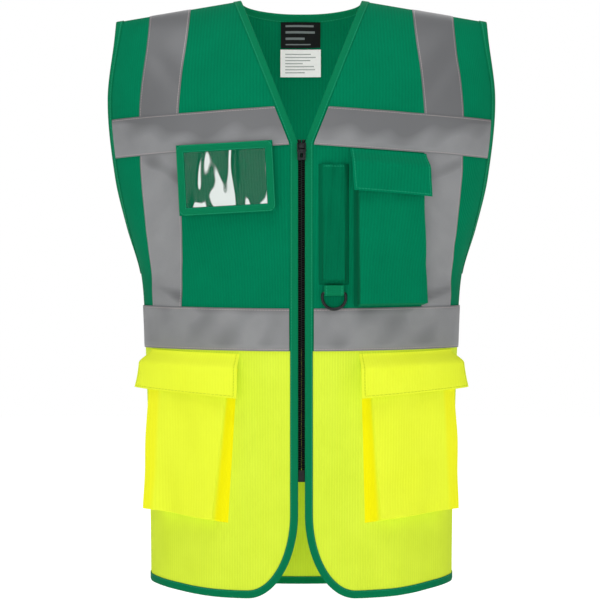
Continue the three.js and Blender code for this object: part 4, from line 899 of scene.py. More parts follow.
def folded_strip(name, side, edge, limit):
    """A strip folded over an edge: flat on both faces of the cloth, half round past its edge."""
    (edge_s, edge_level), (limit_s, limit_level) = edge, limit
    back = bare(side, edge_s, edge_level) - bare(side, limit_s, limit_level)
    outward = back / np.linalg.norm(back, axis=-1, keepdims=True)
    n = normal(side, edge_s, edge_level)
    rim = lay(side, edge_s, edge_level, 0)
    flat = (1, 0.75, 0.5, 0.25, 0.06)

    def row(share, height):
        return lay(side, mix(edge_s, limit_s, share), mix(edge_level, limit_level, share), height)

    def profile(half):
        rows = [row(share, half) for share in flat]
        for angle in np.radians((65, 35, 0, -35, -65)):
            rows.append(rim + outward * (BINDING_REACH + half * np.cos(angle)) + n * half * np.sin(angle))
        rows += [row(share, -half) for share in flat[::-1]]
        return np.stack(rows, 1)

    outer, inner = profile(BINDING_HALF), profile(BINDING_HALF - BINDING_CLOTH)
    run = np.concatenate([[0], np.cumsum(np.linalg.norm(np.diff(rim, axis=0), axis=1))])[:, None]
    inset = np.array([0, 2, 4, 6, 7.5, 9, 9, 9, 9, 9, 7.5, 6, 4, 2, 0])[None, :]
    across = np.array([0, 2, 4, 6, 7.5, 8.5, 9.2, 10, 10.8, 11.5, 12.5, 14, 16, 18, 20])[None, :]
    uv = np.stack(np.broadcast_arrays(across, run), -1) / 1000
    return slab(name, outer, inner, finish_of("binding"), stitched(inset, run), uv, 50)


class VEST_OT_bindings(VestOperator, bpy.types.Operator):
    """Makes the woven binding folded over each edge of the shell"""

    bl_idname = "vest.bindings"
    bl_label = "Bindings"

    def execute(self, context):
        for word, hand in SIDES:
            self.front_edge(word, hand)
            self.armhole(word, hand)
        self.back_neck()
        self.back_hem()
        return {"FINISHED"}

    def front_edge(self, word, hand):
        z = -V_DROP * np.linspace(0, 1, 90) ** 1.6
        straight = np.linspace(-V_DROP, float(waist_seam(0)), 70)[1:]
        low_x, low_z = even_along(*front_edge_line(0), 200)
        in_x, in_z = front_edge_line(BINDING_WIDE)
        gone = np.concatenate([[0], np.cumsum(np.hypot(*np.diff(np.stack(front_edge_line(0)), axis=1)))])
        even = np.linspace(0, gone[-1], 200)
        upper = np.concatenate([z, straight])
        edge = seen(np.concatenate([neck_x(upper), low_x[1:]]), np.concatenate([upper, low_z[1:]]))
        limit_s, limit_level = seen(
            np.concatenate([neck_x(upper) + BINDING_WIDE, np.interp(even, gone, in_x)[1:]]),
            np.concatenate([upper, np.interp(even, gone, in_z)[1:]]),
        )
        count = len(upper)
        limit_level[:count] = edge[1][:count]
        limit_s[:count] = step_across(FRONT, edge[0][:count], edge[1][:count], BINDING_WIDE)
        limit_s = mix(limit_s, edge[0], smooth(edge[0], 0.85, 1))  # both end at the side seam
        edge, limit = (hand * edge[0], edge[1]), (hand * limit_s, limit_level)
        made = folded_strip(f"front_binding_{word}", FRONT, edge, limit)
        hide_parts(f"neck_binding_{word}", f"front_{word}_binding")
        ride_front(made)

    def armhole(self, word, hand):
        level = ARMPIT_DROP * np.linspace(0, 1, 150) ** 1.8
        one = np.ones_like(level)
        for side, name in ((BACK, f"armhole_binding_{word}"), (FRONT, f"armhole_binding_front_{word}")):
            limit = step_across(side, one, level, -BINDING_WIDE)
            made = folded_strip(name + "_strip", side, (hand * one, level), (hand * limit, level))
            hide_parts(name)
            ride_side(made, side)

    def back_neck(self):
        turn = np.linspace(-np.pi / 2, np.pi / 2, 121)
        x = NECK_HALF * np.sin(turn)
        edge = seen(x, -BACK_NECK_DROP * np.cos(turn))
        out = NECK_HALF + BINDING_WIDE
        limit_s, limit_level = seen(out * np.sin(turn), -(BACK_NECK_DROP + BINDING_WIDE) * np.cos(turn))
        limit_level = np.where(np.abs(turn) > 1.5, 0.0, limit_level)
        made = folded_strip("back_neck_strip", BACK, edge, (limit_s, limit_level))
        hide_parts("back_neck_binding")
        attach(made, "back")

    def back_hem(self):
        s = np.linspace(-1, 1, 200)
        level = -back_hem(s)
        made = folded_strip("back_hem_strip", BACK, (s, level), (s, level - BINDING_WIDE))
        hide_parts("back_hem_binding")
        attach(made, "back")


# ---------------------------------------------------------------- reflective tapes

BRACE_LOW, BAND_LOW, TAPE_CLOTH = 0.6, 1.5, 0.5
PAST_BINDING = BINDING_WIDE + 1.2


def tape(name, side, s, level, low, across, run):
    """A tape sewn on the cloth: a thin sheet at a height, its two long edges pressed down a little."""
    pressed = 0.25 * (1 - smooth(np.minimum(across, TAPE_WIDE - across), 0, 3))
    height = low + TAPE_CLOTH - pressed
    stitches = stitched(np.minimum(across, TAPE_WIDE - across), run)
    uv = np.stack([across, run], -1) / 1000
    outer, inner = lay(side, s, level, height), lay(side, s, level, low)
    return slab(name, outer, inner, finish_of("tape"), stitches, uv)


def length_along(side, s, level):
    """Distance along each row of places."""
    steps = np.linalg.norm(np.diff(bare(side, s, level), axis=1), axis=-1)
    return np.concatenate([np.zeros((len(s), 1)), np.cumsum(steps, axis=1)], axis=1)


class VEST_OT_tapes(VestOperator, bpy.types.Operator):
    """Makes the reflective tapes: a brace over each shoulder, a chest band and a waist band"""

    bl_idname = "vest.tapes"
    bl_label = "Reflective tapes"

    def execute(self, context):
        for word, hand in SIDES:
            self.braces(word, hand)
            self.chest_band(hand, FRONT, f"chest_tape_{word}", word)
            self.waist_band(hand, FRONT, f"waist_tape_{word}", word)
        self.chest_band(1, BACK, "back_chest_tape")
        self.waist_band(1, BACK, "back_waist_tape")
        return {"FINISHED"}

    def braces(self, word, hand):
        for side, node, name in (
            (BACK, f"brace_{word}", f"brace_{word}_back"),
            (FRONT, f"brace_front_{word}", f"brace_{word}_front"),
        ):
            level = (370 * np.linspace(0, 1, 130) ** 1.8)[:, None]
            middle = np.arcsin(brace_middle(level) / half_width(level)) * 2 / np.pi
            half = step_across(side, middle, level, TAPE_WIDE / 2) - middle
            low = middle - step_across(side, middle, level, -TAPE_WIDE / 2)
            t = np.linspace(-1, 1, 25)[None, :]
            s = middle + np.where(t > 0, half, low) * t
            level = level + 0 * t
            across = (t + 1) / 2 * TAPE_WIDE + 0 * level
            run = length_along(side, s.T, level.T).T
            made = tape(name, side, hand * s, level, BRACE_LOW, across, run)
            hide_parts(node)
            ride_side(made, side)

    def chest_band(self, hand, side, node, word=""):
        v, u = grid(13, 220 if side == BACK else 120)
        drop = 0.3 + CHEST_TAPE_TALL * v[:, :1]
        end_level = drop - chest_tape_top(CHEST_HALF_WIDEST)
        for _ in range(12):
            end_x = half_width(end_level)
            end_level = drop - chest_tape_top(end_x) + seam_height(end_x) * seam_share(end_level)
        end_s = step_across(side, np.ones_like(end_level), end_level, -PAST_BINDING)
        z = chest_tape_top(FRONT_EDGE) - drop
        start_s, start_level = seen(neck_x(z), z)
        start_s = -end_s if side == BACK else step_across(FRONT, start_s, start_level, PAST_BINDING)
        s = mix(start_s, end_s, u)
        x = half_width(end_level) * np.sin(s * np.pi / 2)
        s, level = seen(x, chest_tape_top(CHEST_HALF_AT_TAPE if side == BACK else x) - drop)
        run = length_along(side, s, level)
        made = tape(node + "_band", side, hand * s, level, BAND_LOW, v * TAPE_WIDE, run)
        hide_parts(node)
        ride_side(made, side)

    def waist_band(self, hand, side, node, word=""):
        v, u = grid(13, 220 if side == BACK else 120)
        start_s, start_level = (np.array([float(v)]) for v in seen(FRONT_EDGE, WAIST_TOP))
        inner = step_across(FRONT, start_s, start_level, PAST_BINDING)[0]
        s = mix(-1.0 if side == BACK else inner, 1.0, u)
        level = -waist_tape_top(s) + TAPE_WIDE * v
        run = length_along(side, s, level)
        made = tape(node + "_band", side, hand * s, level, BAND_LOW, v * TAPE_WIDE, run)
        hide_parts(node)
        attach(made, "back" if side == BACK else f"front_{word}")


# ---------------------------------------------------------------- zip

TEETH_HIGH, TEETH_THICK, TEETH_TOP, TEETH_LOW = -1.25, 2.2, -174.0, -556.0
ZIP_TAPE_HIGH, ZIP_TAPE_CLOTH = -2.05, 0.5
ZIP_TAPE_START, ZIP_TAPE_END, ZIP_TAPE_LOW, ZIP_TAPE_TOP = 0.3, 17.0, -571.0, -170.5


class VEST_OT_zip(VestOperator, bpy.types.Operator):
    """Makes the zip: its tapes and teeth, and rounds the slider, pull, stops, box and pin"""

    bl_idname = "vest.zip"
    bl_label = "Zip"

    def execute(self, context):
        for word, hand in SIDES:
            self.zip_tape(word, hand)
            self.teeth(word, hand)
            nylon = finish_of("nylon")
            stop = rounded_copy(f"zip_stop_{word}", f"top_stop_{word}", 0.5, nylon)
            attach(stop, f"front_{word}")
        for node, name, body, edge, finish, slot in (
            ("zip_slider", "slider_body", "zip_slider", 0.6, "coated", "zip_metal"),
            ("zip_pull", "slider_pull", "zip_pull", 0.6, "coated", "zip_metal"),
            ("zip_box", "bottom_box", "front_left", 0.4, "nylon", "zip_plastic"),
            ("zip_pin", "bottom_pin", "front_right", 0.4, "nylon", "zip_plastic"),
        ):
            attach(rounded_copy(node, name, edge, finish_of(finish)), body)
        return {"FINISHED"}

    def zip_tape(self, word, hand):
        v, u = grid(200, 9)
        x, z = mix(ZIP_TAPE_START, ZIP_TAPE_END, u), mix(ZIP_TAPE_LOW, ZIP_TAPE_TOP, v)
        s, level = seen(x, z)
        uv = np.stack([x, z - ZIP_TAPE_LOW], -1) / 1000
        outer = lay(FRONT, hand * s, level, ZIP_TAPE_HIGH)
        inner = lay(FRONT, hand * s, level, ZIP_TAPE_HIGH - ZIP_TAPE_CLOTH)
        flat = unstitched(x.shape)
        made = slab(f"zip_cloth_{word}", outer, inner, finish_of("zip_cloth"), flat, uv)
        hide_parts(f"zip_tape_{word}")
        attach(made, f"front_{word}")

    def teeth(self, word, hand):
        # One tooth is an eight-sided section carried across: a neck, then a head that hooks the other row.
        pitch = sizes().tooth_pitch * 1000
        angle = np.linspace(0, 2 * np.pi, 8, endpoint=False) + np.pi / 8
        x = np.array([3.7, 1.9, 1.0, -0.55])
        tall = np.array([0.95, 0.8, 1.05, 0.9])
        deep = np.array([1.1, 0.95, 1.1, 0.85])
        ring = np.stack(
            [
                np.repeat(x[:, None], 8, 1) * hand,
                -DEPTH_FRONT - (TEETH_HIGH - TEETH_THICK / 2) + deep[:, None] * np.cos(angle),
                tall[:, None] * 0.62 * np.sin(angle),
            ],
            -1,
        )
        first = TEETH_TOP - 1.5 - (pitch / 2 if hand < 0 else 0)
        heights = np.arange(first, TEETH_LOW, -pitch)
        points = ring[None] + np.array([0, 0, 1]) * heights[:, None, None, None]
        quads = sheet_faces(4, 8, wrap=True)
        one = ring.reshape(-1, 3)
        turned = facing_out(one, quads)
        caps = [list(range(8)), list(range(24, 32))[::-1]]
        if turned is quads:
            caps = [cap[::-1] for cap in caps]
        one_tooth = turned.tolist() + caps
        faces = [[index + 32 * k for index in face] for k in range(len(heights)) for face in one_tooth]
        made = piece(f"zip_teeth_row_{word}", points.reshape(-1, 3), faces, finish_of("nylon"))
        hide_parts(f"zip_teeth_{word}")
        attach(made, f"front_{word}")


# ---------------------------------------------------------------- pockets

POCKET_WALL, SEWN_HIGH, GUSSET_CREASE, FLAP_WALL, FLAP_FLARE = 0.8, 0.5, 0.34, 1.5, 2.0
MOUTH_DROP = 18  # from the top of a flap to the mouth of its pocket
CHEST_ENDS, CHEST_DEEP, CHEST_STANDOFF = np.array([61, 144]), 14.5, 18.4
CHEST_FLAP_ENDS, CHEST_FLAP_IN, CHEST_FLAP_TALL = (57, 146), 3, 49
LOWER_TOP, LOWER_BOTTOM, LOWER_SEAM_GAP = -421, -HEM_DROP + 87, 11
LOWER_DEEP, LOWER_GUSSET, LOWER_STANDOFF = 13.5, (12.5, 6), 17
LOWER_FLAP_TALL, LOWER_FLAP_PAST, LOWER_RISE = 52, 2.5, (5, 15, 13)  # how far each outer end is higher
PEN_ENDS, PEN_TOP, PEN_BOTTOM, PEN_DEEP = (20, 55.5), -199, -340, 5.2


def four_lines(corners, hand, u, v):
    """Places between an inner and an outer upright line; v is 0 at the bottom and 1 at the top."""
    (inner_x, inner_z), (outer_x, outer_z), (low_inner_x, low_inner_z), (low_outer_x, low_outer_z) = corners
    inner_s, inner_level = seen(mix(low_inner_x, inner_x, v), mix(low_inner_z, inner_z, v))
    outer_s, outer_level = seen(mix(low_outer_x, outer_x, v), mix(low_outer_z, outer_z, v))
    return hand * mix(inner_s, outer_s, u), mix(inner_level, outer_level, u)


def bellows(name, corners, hand, deep, gusset, low_gusset, material, slot, **shape):
    """A pocket open at its top: a gusset rises from each sewn end with a crease in it, and the front sags.

    gusset is its width at the bottom and at the mouth. shape can hold folded=False for plain gussets, kick,
    how far the outer lower corner stands out, strip, how far in from the outer end the gusset's painted shade
    shows, and overall_shade, a painted shade laid over the whole pocket.
    """
    kick, strip, overall_shade = (shape.get(key, 0.0) for key in ("kick", "strip", "overall_shade"))
    wide = abs(corners[1][0] - corners[0][0])
    tall = corners[0][1] - corners[2][1]
    low_end = low_gusset / tall
    v = np.concatenate([np.linspace(0, low_end, 12), np.linspace(low_end, 1, 64)[1:]])[:, None]
    ends = mix(*gusset, v) / wide
    rise_part, flat_part = np.linspace(0, 1, 12)[None, :], np.linspace(0, 1, 56)[None, 1:]
    outer_part = mix(1 - ends, 1, rise_part[:, 1:])
    u = np.concatenate([ends * rise_part, mix(ends, 1 - ends, flat_part), outer_part], 1)
    v = v + 0 * u
    side_rise = np.clip(np.minimum(u, 1 - u) / ends, 0, 1)
    low_rise = np.clip(v / low_end, 0, 1)
    crease = GUSSET_CREASE * np.sin(np.pi * side_rise) * shape.get("folded", True)
    rise = np.clip(side_rise**0.8 - crease, 0, 1) * low_rise**0.6
    slump = sizes().pocket_slump * 1000 * np.sin(np.pi * u)
    sag = slump * (1 - v) ** 1.5 - 0.5 * slump * v
    wave = 1.1 * np.sin(9 * u + 5 * v) * np.sin(7 * v + 1.0) + 0.6 * np.sin(17 * u - 5 * v)
    sag = (sag + wave) * smooth(rise, 0.6, 1) * smooth(low_rise, 0.4, 1)
    height = SEWN_HIGH + (deep - SEWN_HIGH) * rise + sag
    height = height + kick * rise * smooth(u, 0.55, 1) * (1 - 0.75 * v)
    s, level = four_lines(corners, hand, u, v)
    edge = np.where(rise >= 0.97, (1 - v) * tall, 1000)
    # Painted shade: the gusset colour is mixed in where each gusset rises from its sewn end, and a given share
    # over the whole pocket.
    shade = np.maximum((1 - smooth(side_rise, 0.75, 1.0)) * 0.9, overall_shade)
    # Painted shade: a strip in from the outer end takes part of the gusset colour, standing in for the outer
    # gusset, which faces away.
    if strip:
        shade = np.maximum(shade, 0.45 * smooth(u * wide, wide - strip - 4, wide - strip + 1))
    values = stitched(edge, u * wide + v * tall, shade)
    outer, inner = (lay(FRONT, s, level, h) for h in (height, np.maximum(height - POCKET_WALL, 0.05)))
    return slab(name, outer, inner, material, values, grain(FRONT, s, level), 55)


def flap(name, corners, hand, standoff, material, kick=0.0):
    """A flap of two layers: sewn along its top, it rolls over the pocket's mouth and hangs before it."""
    wide = abs(corners[1][0] - corners[0][0])
    tall = corners[0][1] - corners[2][1]
    v, u = grid(48, 64)
    down = 1 - v
    height = mix(1.2, standoff, smooth(down, 0, 0.36))
    height = height + FLAP_FLARE * down**3 * (0.5 + 0.5 * np.cos(2 * np.pi * u))
    height = height + kick * smooth(u, 0.7, 1) * down**2 + 0.6 * np.sin(7 * u + 2) * smooth(down, 0.2, 1)
    s, level = four_lines(corners, hand, u, v)
    edge = np.minimum(np.minimum(u, 1 - u) * wide, v * tall)
    round_off = 0.35 * (1 - smooth(edge, 0, 2))
    values = stitched(edge, u * wide + v * tall)
    outer = lay(FRONT, s, level, height + FLAP_WALL - round_off)
    inner = lay(FRONT, s, level, height + round_off)
    return slab(name, outer, inner, material, values, grain(FRONT, s, level), 55)


def chest_flap_top(x):
    return chest_tape_top(x) - CHEST_TAPE_TALL - 1.6


class VEST_OT_pockets(VestOperator, bpy.types.Operator):
    """Makes the bellows pockets with their flaps and patches, and the long pen pocket"""

    bl_idname = "vest.pockets"
    bl_label = "Pockets"

    def execute(self, context):
        self.chest()
        self.lower("left", 1, 70, 74)
        self.lower("right", -1, 75, 86)
        self.pen()
        for node, body in (
            ("chest_loop_patch", "front_left"),
            ("chest_hook_patch", "chest_flap"),
            ("lower_left_loop_patch", "front_left"),
            ("lower_left_hook_patch", "lower_left_flap"),
            ("lower_right_loop_patch", "front_right"),
            ("lower_right_hook_patch", "lower_right_flap"),
        ):
            made = rounded_copy(node, node + "_tape", 0.2, finish_of("hooks"))
            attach(made, body)
        return {"FINISHED"}

    def chest(self):
        green = finish_of("green_knit")
        mouth = chest_flap_top(CHEST_ENDS) - MOUTH_DROP
        low = waist_tape_top(np.arcsin(CHEST_ENDS / half_width(-WAIST_TOP)) * 2 / np.pi) + 2
        corners = [(float(x), float(z)) for row in (mouth, low) for x, z in zip(CHEST_ENDS, row)]
        # The chest pocket's gussets take painted shade in the deep green.
        made = bellows("chest_pocket_body", corners, 1, CHEST_DEEP, (5, 5), 3, green, "green_fabric")
        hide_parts("chest_pocket")
        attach(made, "front_left")
        inner, outer = CHEST_FLAP_ENDS
        low_inner = inner + CHEST_FLAP_IN
        top, low_top, outer_top = (float(chest_flap_top(x)) for x in (inner, low_inner, outer))
        low = (low_inner, low_top - CHEST_FLAP_TALL), (outer, outer_top - CHEST_FLAP_TALL)
        corners = ((inner, top), (outer, outer_top), *low)
        made = flap("chest_flap_cloth", corners, 1, CHEST_STANDOFF, green)
        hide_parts("chest_flap")
        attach(made, "chest_flap")

    def lower(self, word, hand, inner, inner_low):
        mouth, yellow = LOWER_TOP - MOUTH_DROP, finish_of("pocket_knit")
        mouth_rise, bottom_rise, flap_rise = LOWER_RISE
        outer = float(half_width(-LOWER_BOTTOM)) - LOWER_SEAM_GAP
        low = (inner_low, LOWER_BOTTOM), (outer, LOWER_BOTTOM + bottom_rise)
        corners = ((inner, mouth), (outer, mouth + mouth_rise), *low)
        # The outer 19 mm of each lower pocket take part of the painted gusset shade.
        name, shape = f"lower_{word}_pocket_body", {"kick": 18, "strip": 19}
        made = bellows(name, corners, hand, LOWER_DEEP, LOWER_GUSSET, 3, yellow, "yellow_fabric", **shape)
        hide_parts(f"lower_{word}_pocket")
        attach(made, f"front_{word}")
        low = LOWER_TOP - LOWER_FLAP_TALL
        inner, outer = inner - LOWER_FLAP_PAST, float(half_width(-low)) - LOWER_SEAM_GAP + LOWER_FLAP_PAST
        upper = (inner, LOWER_TOP), (outer, LOWER_TOP + mouth_rise)
        corners = (*upper, (inner, low), (outer, low + flap_rise))
        name = f"lower_{word}_flap_cloth"
        made = flap(name, corners, hand, LOWER_STANDOFF, yellow, kick=4.0)
        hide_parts(f"lower_{word}_flap")
        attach(made, f"lower_{word}_flap")

    def pen(self):
        corners = [(x, z) for z in (PEN_TOP, PEN_BOTTOM) for x in PEN_ENDS]
        # The pen pocket is darkened all over with painted shade, towards the deep green.
        green, shape = finish_of("green_knit"), {"folded": False, "overall_shade": 0.55}
        made = bellows("pen_pocket_body", corners, 1, PEN_DEEP, (6, 6), 6, green, "green_fabric", **shape)
        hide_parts("pen_pocket")
        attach(made, "front_left")


# ---------------------------------------------------------------- ring


def ring_frame():
    """The ring's own frame: its bar's middle, the direction along the bar, and the way out of the cloth."""
    joint = JOINTS["d_ring_swing"]
    along = -np.array(joint["axis"])
    return np.array(joint["pos_m"]) * 1000, along, np.cross(along, (0, 0, 1))


class VEST_OT_ring(VestOperator, bpy.types.Operator):
    """Makes the D ring and the webbing tab that holds it"""

    bl_idname = "vest.ring"
    bl_label = "Ring and tab"

    def execute(self, context):
        origin, along, out = ring_frame()
        up = np.array([0.0, 0.0, 1.0])
        # The ring: a circle of wire carried down one side, round the bow, up the other and along the bar.
        reach, side, corner, wire = 13.75, 5.0, 2.6, 1.75
        bow = np.linspace(np.pi, 2 * np.pi, 49)
        turn = np.linspace(0, np.pi / 2, 9)
        inner = reach - corner
        x = [reach * np.cos(bow), inner + corner * np.cos(turn), -inner - corner * np.sin(turn)]
        z = [-side + reach * np.sin(bow), -corner + corner * np.sin(turn), -corner + corner * np.cos(turn)]
        x, z = np.concatenate(x), np.concatenate(z)
        step = np.stack([np.roll(x, -1) - np.roll(x, 1), np.roll(z, -1) - np.roll(z, 1)], -1)
        step /= np.linalg.norm(step, axis=1, keepdims=True)
        angle = np.linspace(0, 2 * np.pi, 16, endpoint=False)
        path = origin + x[:, None] * along + z[:, None] * up
        across = step[:, 1:] * along - step[:, :1] * up
        section = np.cos(angle)[None, :, None] * across[:, None] + np.sin(angle)[:, None] * out
        rings = path[:, None] + wire * section
        made = rod("ring_wire", rings, finish_of("ring_nylon"), closed=True, sharp=60)
        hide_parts("d_ring")
        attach(made, "d_ring")

        # The tab: down behind the bar, half round under it, and up in front.
        turn = np.linspace(0, np.pi, 15)
        radius, tall, half_wide = 2.9, 9.0, 11.5
        rise = np.linspace(tall, 0, 8)[:-1]
        height = np.concatenate([np.full(7, -radius), -radius * np.cos(turn), np.full(7, radius)])
        drop = np.concatenate([rise, -radius * np.sin(turn), rise[::-1]])
        pinch = smooth(drop, 2, tall)
        height = np.where(height > 0, height * (1 - 0.62 * pinch), height)
        run = np.concatenate([[0], np.cumsum(np.hypot(np.diff(height), np.diff(drop)))])
        normals = np.stack([np.gradient(drop, run + 1e-9), -np.gradient(height, run + 1e-9)], -1)
        normals /= np.linalg.norm(normals, axis=1, keepdims=True)
        across = np.linspace(-half_wide, half_wide, 24)

        def layer(shift):
            h = height + shift * normals[:, 0]
            d = drop + shift * normals[:, 1]
            return origin + across[None, :, None] * along + h[:, None, None] * out + d[:, None, None] * up

        uv = np.stack(np.broadcast_arrays(across[None, :] + 12, run[:, None]), -1) / 1000
        stitches = stitched(half_wide - np.abs(across)[None, :], run[:, None])
        outer, inner = layer(0.5), layer(-0.5)
        tab = slab("ring_tab", outer, inner, finish_of("webbing"), stitches, uv, 60)
        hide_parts("d_ring_tab")
        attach(tab, "front_left")
        return {"FINISHED"}


# ---------------------------------------------------------------- card holder


def rounded_rectangle(half_wide, half_tall, corner):
    """Points round a rectangle, clockwise: along each side, then a quarter circle at each corner."""
    line, last = [], np.array([half_wide, half_tall - corner])
    for k, (x, z) in enumerate(((1, -1), (-1, -1), (-1, 1), (1, 1))):
        angle = -k * np.pi / 2 - np.linspace(0, np.pi / 2, 7)
        middle = np.array([x * (half_wide - corner), z * (half_tall - corner)])
        arc = middle + corner * np.stack([np.cos(angle), np.sin(angle)], -1)
        line += [np.linspace(last, arc[0], (24, 34)[k % 2], endpoint=False)[1:], arc]
        last = arc[-1]
    return np.concatenate(line)


class VEST_OT_holder(VestOperator, bpy.types.Operator):
    """Makes the hanging card holder: a cloth back, a bound frame and a clear window"""

    bl_idname = "vest.holder"
    bl_label = "Card holder"

    WIDE, TALL, RIM = 114.0, 83.0, 9.0

    def place(self, x, out, down):
        """Points of the holder's own frame: along its top edge, out of the cloth and down."""
        joint = JOINTS["id_holder_lift"]
        along = -np.array(joint["axis"])
        mount = next(m for m in frame["record"]["mounts"] if m["name"] == "card_window_face")
        away = np.array(mount["axis"])
        below = np.cross(away, along)
        below *= -np.sign(below[2])
        x, out, down = np.broadcast_arrays(x, out, down)
        start = np.array(joint["pos_m"]) * 1000
        return start + x[..., None] * along + out[..., None] * away + down[..., None] * below

    def execute(self, context):
        self.backing()
        self.rim()
        self.window()
        return {"FINISHED"}

    def backing(self):
        v, u = grid(40, 56)
        x, down = (u - 0.5) * self.WIDE, v * self.TALL
        wave = 0.25 * np.sin(4 * u + 3 * v) * np.sin(np.pi * u)
        uv = np.stack([x + 60, -down], -1) / 1000
        outer, inner = self.place(x, 0.7 + wave, down), self.place(x, wave, down)
        green, flat = finish_of("green_knit"), unstitched(u.shape)
        made = slab("card_holder_back", outer, inner, green, flat, uv)
        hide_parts("id_holder_backing")
        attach(made, "id_holder")

    def rim(self):
        # A rounded strip carried round the rectangle, with its corners turned on a small radius.
        path = rounded_rectangle(self.WIDE / 2 - self.RIM / 2, self.TALL / 2 - self.RIM / 2, 3.0)
        step = np.roll(path, -1, 0) - np.roll(path, 1, 0)
        step /= np.linalg.norm(step, axis=1, keepdims=True)
        side = np.stack([-step[:, 1], step[:, 0]], -1)
        half = [(-4.5, 1.1), (-4.2, 1.9), (-3, 2.7)]
        section = np.array([*half, (0, 3.1), *[(-x, out) for x, out in half[::-1]], (0, 1.0)])
        spread = path[:, None] + side[:, None] * section[None, :, :1]
        out = np.broadcast_to(section[None, :, 1], spread.shape[:2])
        rings = self.place(spread[..., 0], out, self.TALL / 2 - spread[..., 1])
        gone = np.concatenate([[0], np.cumsum(np.linalg.norm(np.diff(path, axis=0), axis=1))])
        run, across = np.broadcast_arrays(gone[:, None], section[None, :, 0] + 5)
        stitches = stitched(np.minimum(across, 10 - across), run)
        uv = np.stack([across, run], -1) / 1000
        made = rod("card_holder_rim", rings, finish_of("binding"), stitches, uv, closed=True)
        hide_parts("id_holder_frame")
        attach(made, "id_holder")

    def window(self):
        v, u = grid(60, 84)
        wide, tall = self.WIDE - 2 * self.RIM - 0.6, self.TALL - 2 * self.RIM - 0.6
        x, down = (u - 0.5) * wide, self.RIM + 0.3 + v * tall
        hold = np.sin(np.pi * u) * np.sin(np.pi * v)
        wave = 0.5 * np.sin(5 * u - 8 * v + 1) * hold + 0.4 * np.sin(13 * u + 9 * v) * hold
        outer, inner = self.place(x, 2.2 + wave, down), self.place(x, 1.7 + wave, down)
        uv = np.stack([x, -down], -1) / 1000
        made = slab("card_holder_window", outer, inner, finish_of("film"), None, uv)
        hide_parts("id_holder_window")
        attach(made, "id_holder")


# ---------------------------------------------------------------- labels


class VEST_OT_labels(VestOperator, bpy.types.Operator):
    """Makes the two woven labels inside the back of the neck"""

    bl_idname = "vest.labels"
    bl_label = "Labels"

    def execute(self, context):
        for node, finish, wide, top, tall in (
            ("size_label", "size_label", 48.6, 18, 30),
            ("care_label", "care_label", 49.7, 50, 33.5),
        ):
            v, u = grid(24, 30)
            s, level = seen(-1 + (u - 0.5) * wide, -top - tall * (1 - v))
            curl = 0.8 * (1 - v) ** 2 * np.sin(3 * u + 1)
            outer = lay(BACK, s, level, -2.2 - curl)
            inner = lay(BACK, s, level, -2.6 - curl)
            made = slab(node + "_cloth", outer, inner, finish_of(finish), None, np.stack([u, v], -1))
            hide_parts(node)
            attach(made, "back")
        return {"FINISHED"}


# ---------------------------------------------------------------- stage


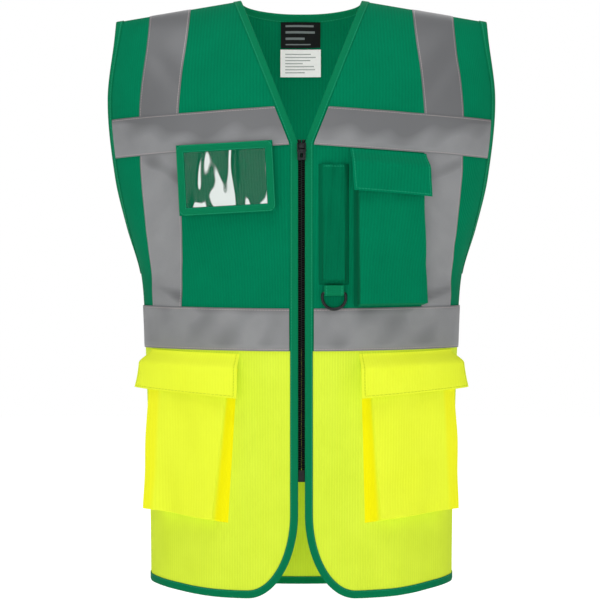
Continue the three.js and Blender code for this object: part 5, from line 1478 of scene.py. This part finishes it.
class VEST_OT_stage(VestOperator, bpy.types.Operator):
    """Sets the floor, the soft studio lights, the world and the camera"""

    bl_idname = "vest.stage"
    bl_label = "Stage"

    def execute(self, context):
        self.floor()
        self.lights()
        self.world()
        self.camera()
        context.scene.view_settings.view_transform = "Standard"
        return {"FINISHED"}

    def floor(self):
        rings, around, reach, height = 24, 64, 9000, -780.0
        ring = (1 + reach * np.linspace(0, 1, rings) ** 1.6)[:, None]
        turn = np.linspace(0, 2 * np.pi, around, endpoint=False)[None, :]
        points = np.stack([ring * np.cos(turn), ring * np.sin(turn), np.full((rings, around), height)], -1)
        material, tree, shader = new_material("pale_floor", 0.9, linear("#f6f6f5"))
        shader.inputs["Emission Color"].default_value = linear("#ffffff")
        place = add_node(tree, "ShaderNodeTexCoord").outputs["Object"]
        away = add_node(tree, "ShaderNodeVectorMath", LENGTH, i0=place).outputs["Value"]
        glow = add_node(tree, "ShaderNodeMapRange", i0=away, i1=0.4, i2=2.2, i3=0.2, i4=0.85)
        tree.links.new(glow.outputs[0], shader.inputs["Emission Strength"])
        mesh = bpy.data.meshes.new("floor")
        faces = sheet_faces(rings, around, wrap=True)[:, ::-1].tolist() + [list(range(around))]
        mesh.from_pydata((points.reshape(-1, 3) / 1000).tolist(), [], faces)
        mesh.materials.append(material)
        made = bpy.data.objects.new("floor", mesh)
        bpy.context.scene.collection.objects.link(made)

    def lights(self):
        middle, neck = (0, 0, -0.36), (0, 0.1, -0.09)
        for name, place, target, size, power in (
            ("front", (-0.9, -4.2, 0.5), middle, 2.2, 30),
            ("fill", (2.6, -3.0, 0.1), middle, 2.4, 14),
            ("top", (-0.3, -1.0, 2.5), middle, 2.2, 54),
            ("rear", (0.6, 3.2, 1.4), middle, 2.4, 30),
            ("inside", (0.0, -0.06, -0.16), neck, 0.12, 0.16),
        ):
            light = bpy.data.lights.new(name, "AREA")
            light.shape = "SQUARE"
            light.size = size
            light.energy = power
            made = bpy.data.objects.new(name, light)
            made.location = place
            aim = Vector(target) - Vector(place)
            made.rotation_euler = aim.to_track_quat("-Z", "Y").to_euler()
            bpy.context.scene.collection.objects.link(made)

    def world(self):
        world = bpy.data.worlds.new("soft_white")
        world.use_nodes = True
        tree = world.node_tree
        back = tree.nodes["Background"]
        back.inputs["Color"].default_value = (1, 1, 1, 1)
        seen_by = add_node(tree, "ShaderNodeLightPath").outputs["Is Camera Ray"]
        strength = add_node(tree, "ShaderNodeMapRange", i0=seen_by, i3=0.22, i4=1.0)
        tree.links.new(strength.outputs[0], back.inputs["Strength"])
        bpy.context.scene.world = world

    def camera(self):
        camera = bpy.data.cameras.new("camera")
        camera.lens = 225.7
        camera.sensor_width = 36
        camera.clip_end = 60
        made = bpy.data.objects.new("camera", camera)
        made.location = (-0.00175, -4.518, -0.358)
        made.rotation_euler = (np.pi / 2, 0, 0)
        bpy.context.scene.collection.objects.link(made)
        bpy.context.scene.camera = made


# ---------------------------------------------------------------- panel


STEPS = (
    VEST_OT_shell,
    VEST_OT_bindings,
    VEST_OT_tapes,
    VEST_OT_zip,
    VEST_OT_pockets,
    VEST_OT_ring,
    VEST_OT_holder,
    VEST_OT_labels,
    VEST_OT_stage,
)


class VEST_PT_panel(bpy.types.Panel):
    """Lists the vest's settings and the steps that build it"""

    bl_idname = "VEST_PT_panel"
    bl_label = "High visibility vest"
    bl_space_type = "VIEW_3D"
    bl_region_type = "UI"
    bl_category = "Vest"

    def draw(self, context):
        for group in (sizes(), colours()):
            for key in group.__annotations__:
                self.layout.prop(group, key)
        for step in STEPS:
            self.layout.operator(step.bl_idname)


CLASSES = (VestSizes, VestColours, *STEPS, VEST_PT_panel)


def register():
    for made in CLASSES:
        bpy.utils.register_class(made)
    bpy.types.Scene.vest_sizes = bpy.props.PointerProperty(type=VestSizes)
    bpy.types.Scene.vest_colours = bpy.props.PointerProperty(type=VestColours)


def unregister():
    del bpy.types.Scene.vest_sizes
    del bpy.types.Scene.vest_colours
    for made in reversed(CLASSES):
        bpy.utils.unregister_class(made)


def main():
    register()
    for step in STEPS:
        group, name = step.bl_idname.split(".")
        getattr(getattr(bpy.ops, group), name)()


if __name__ == "__main__":
    main()
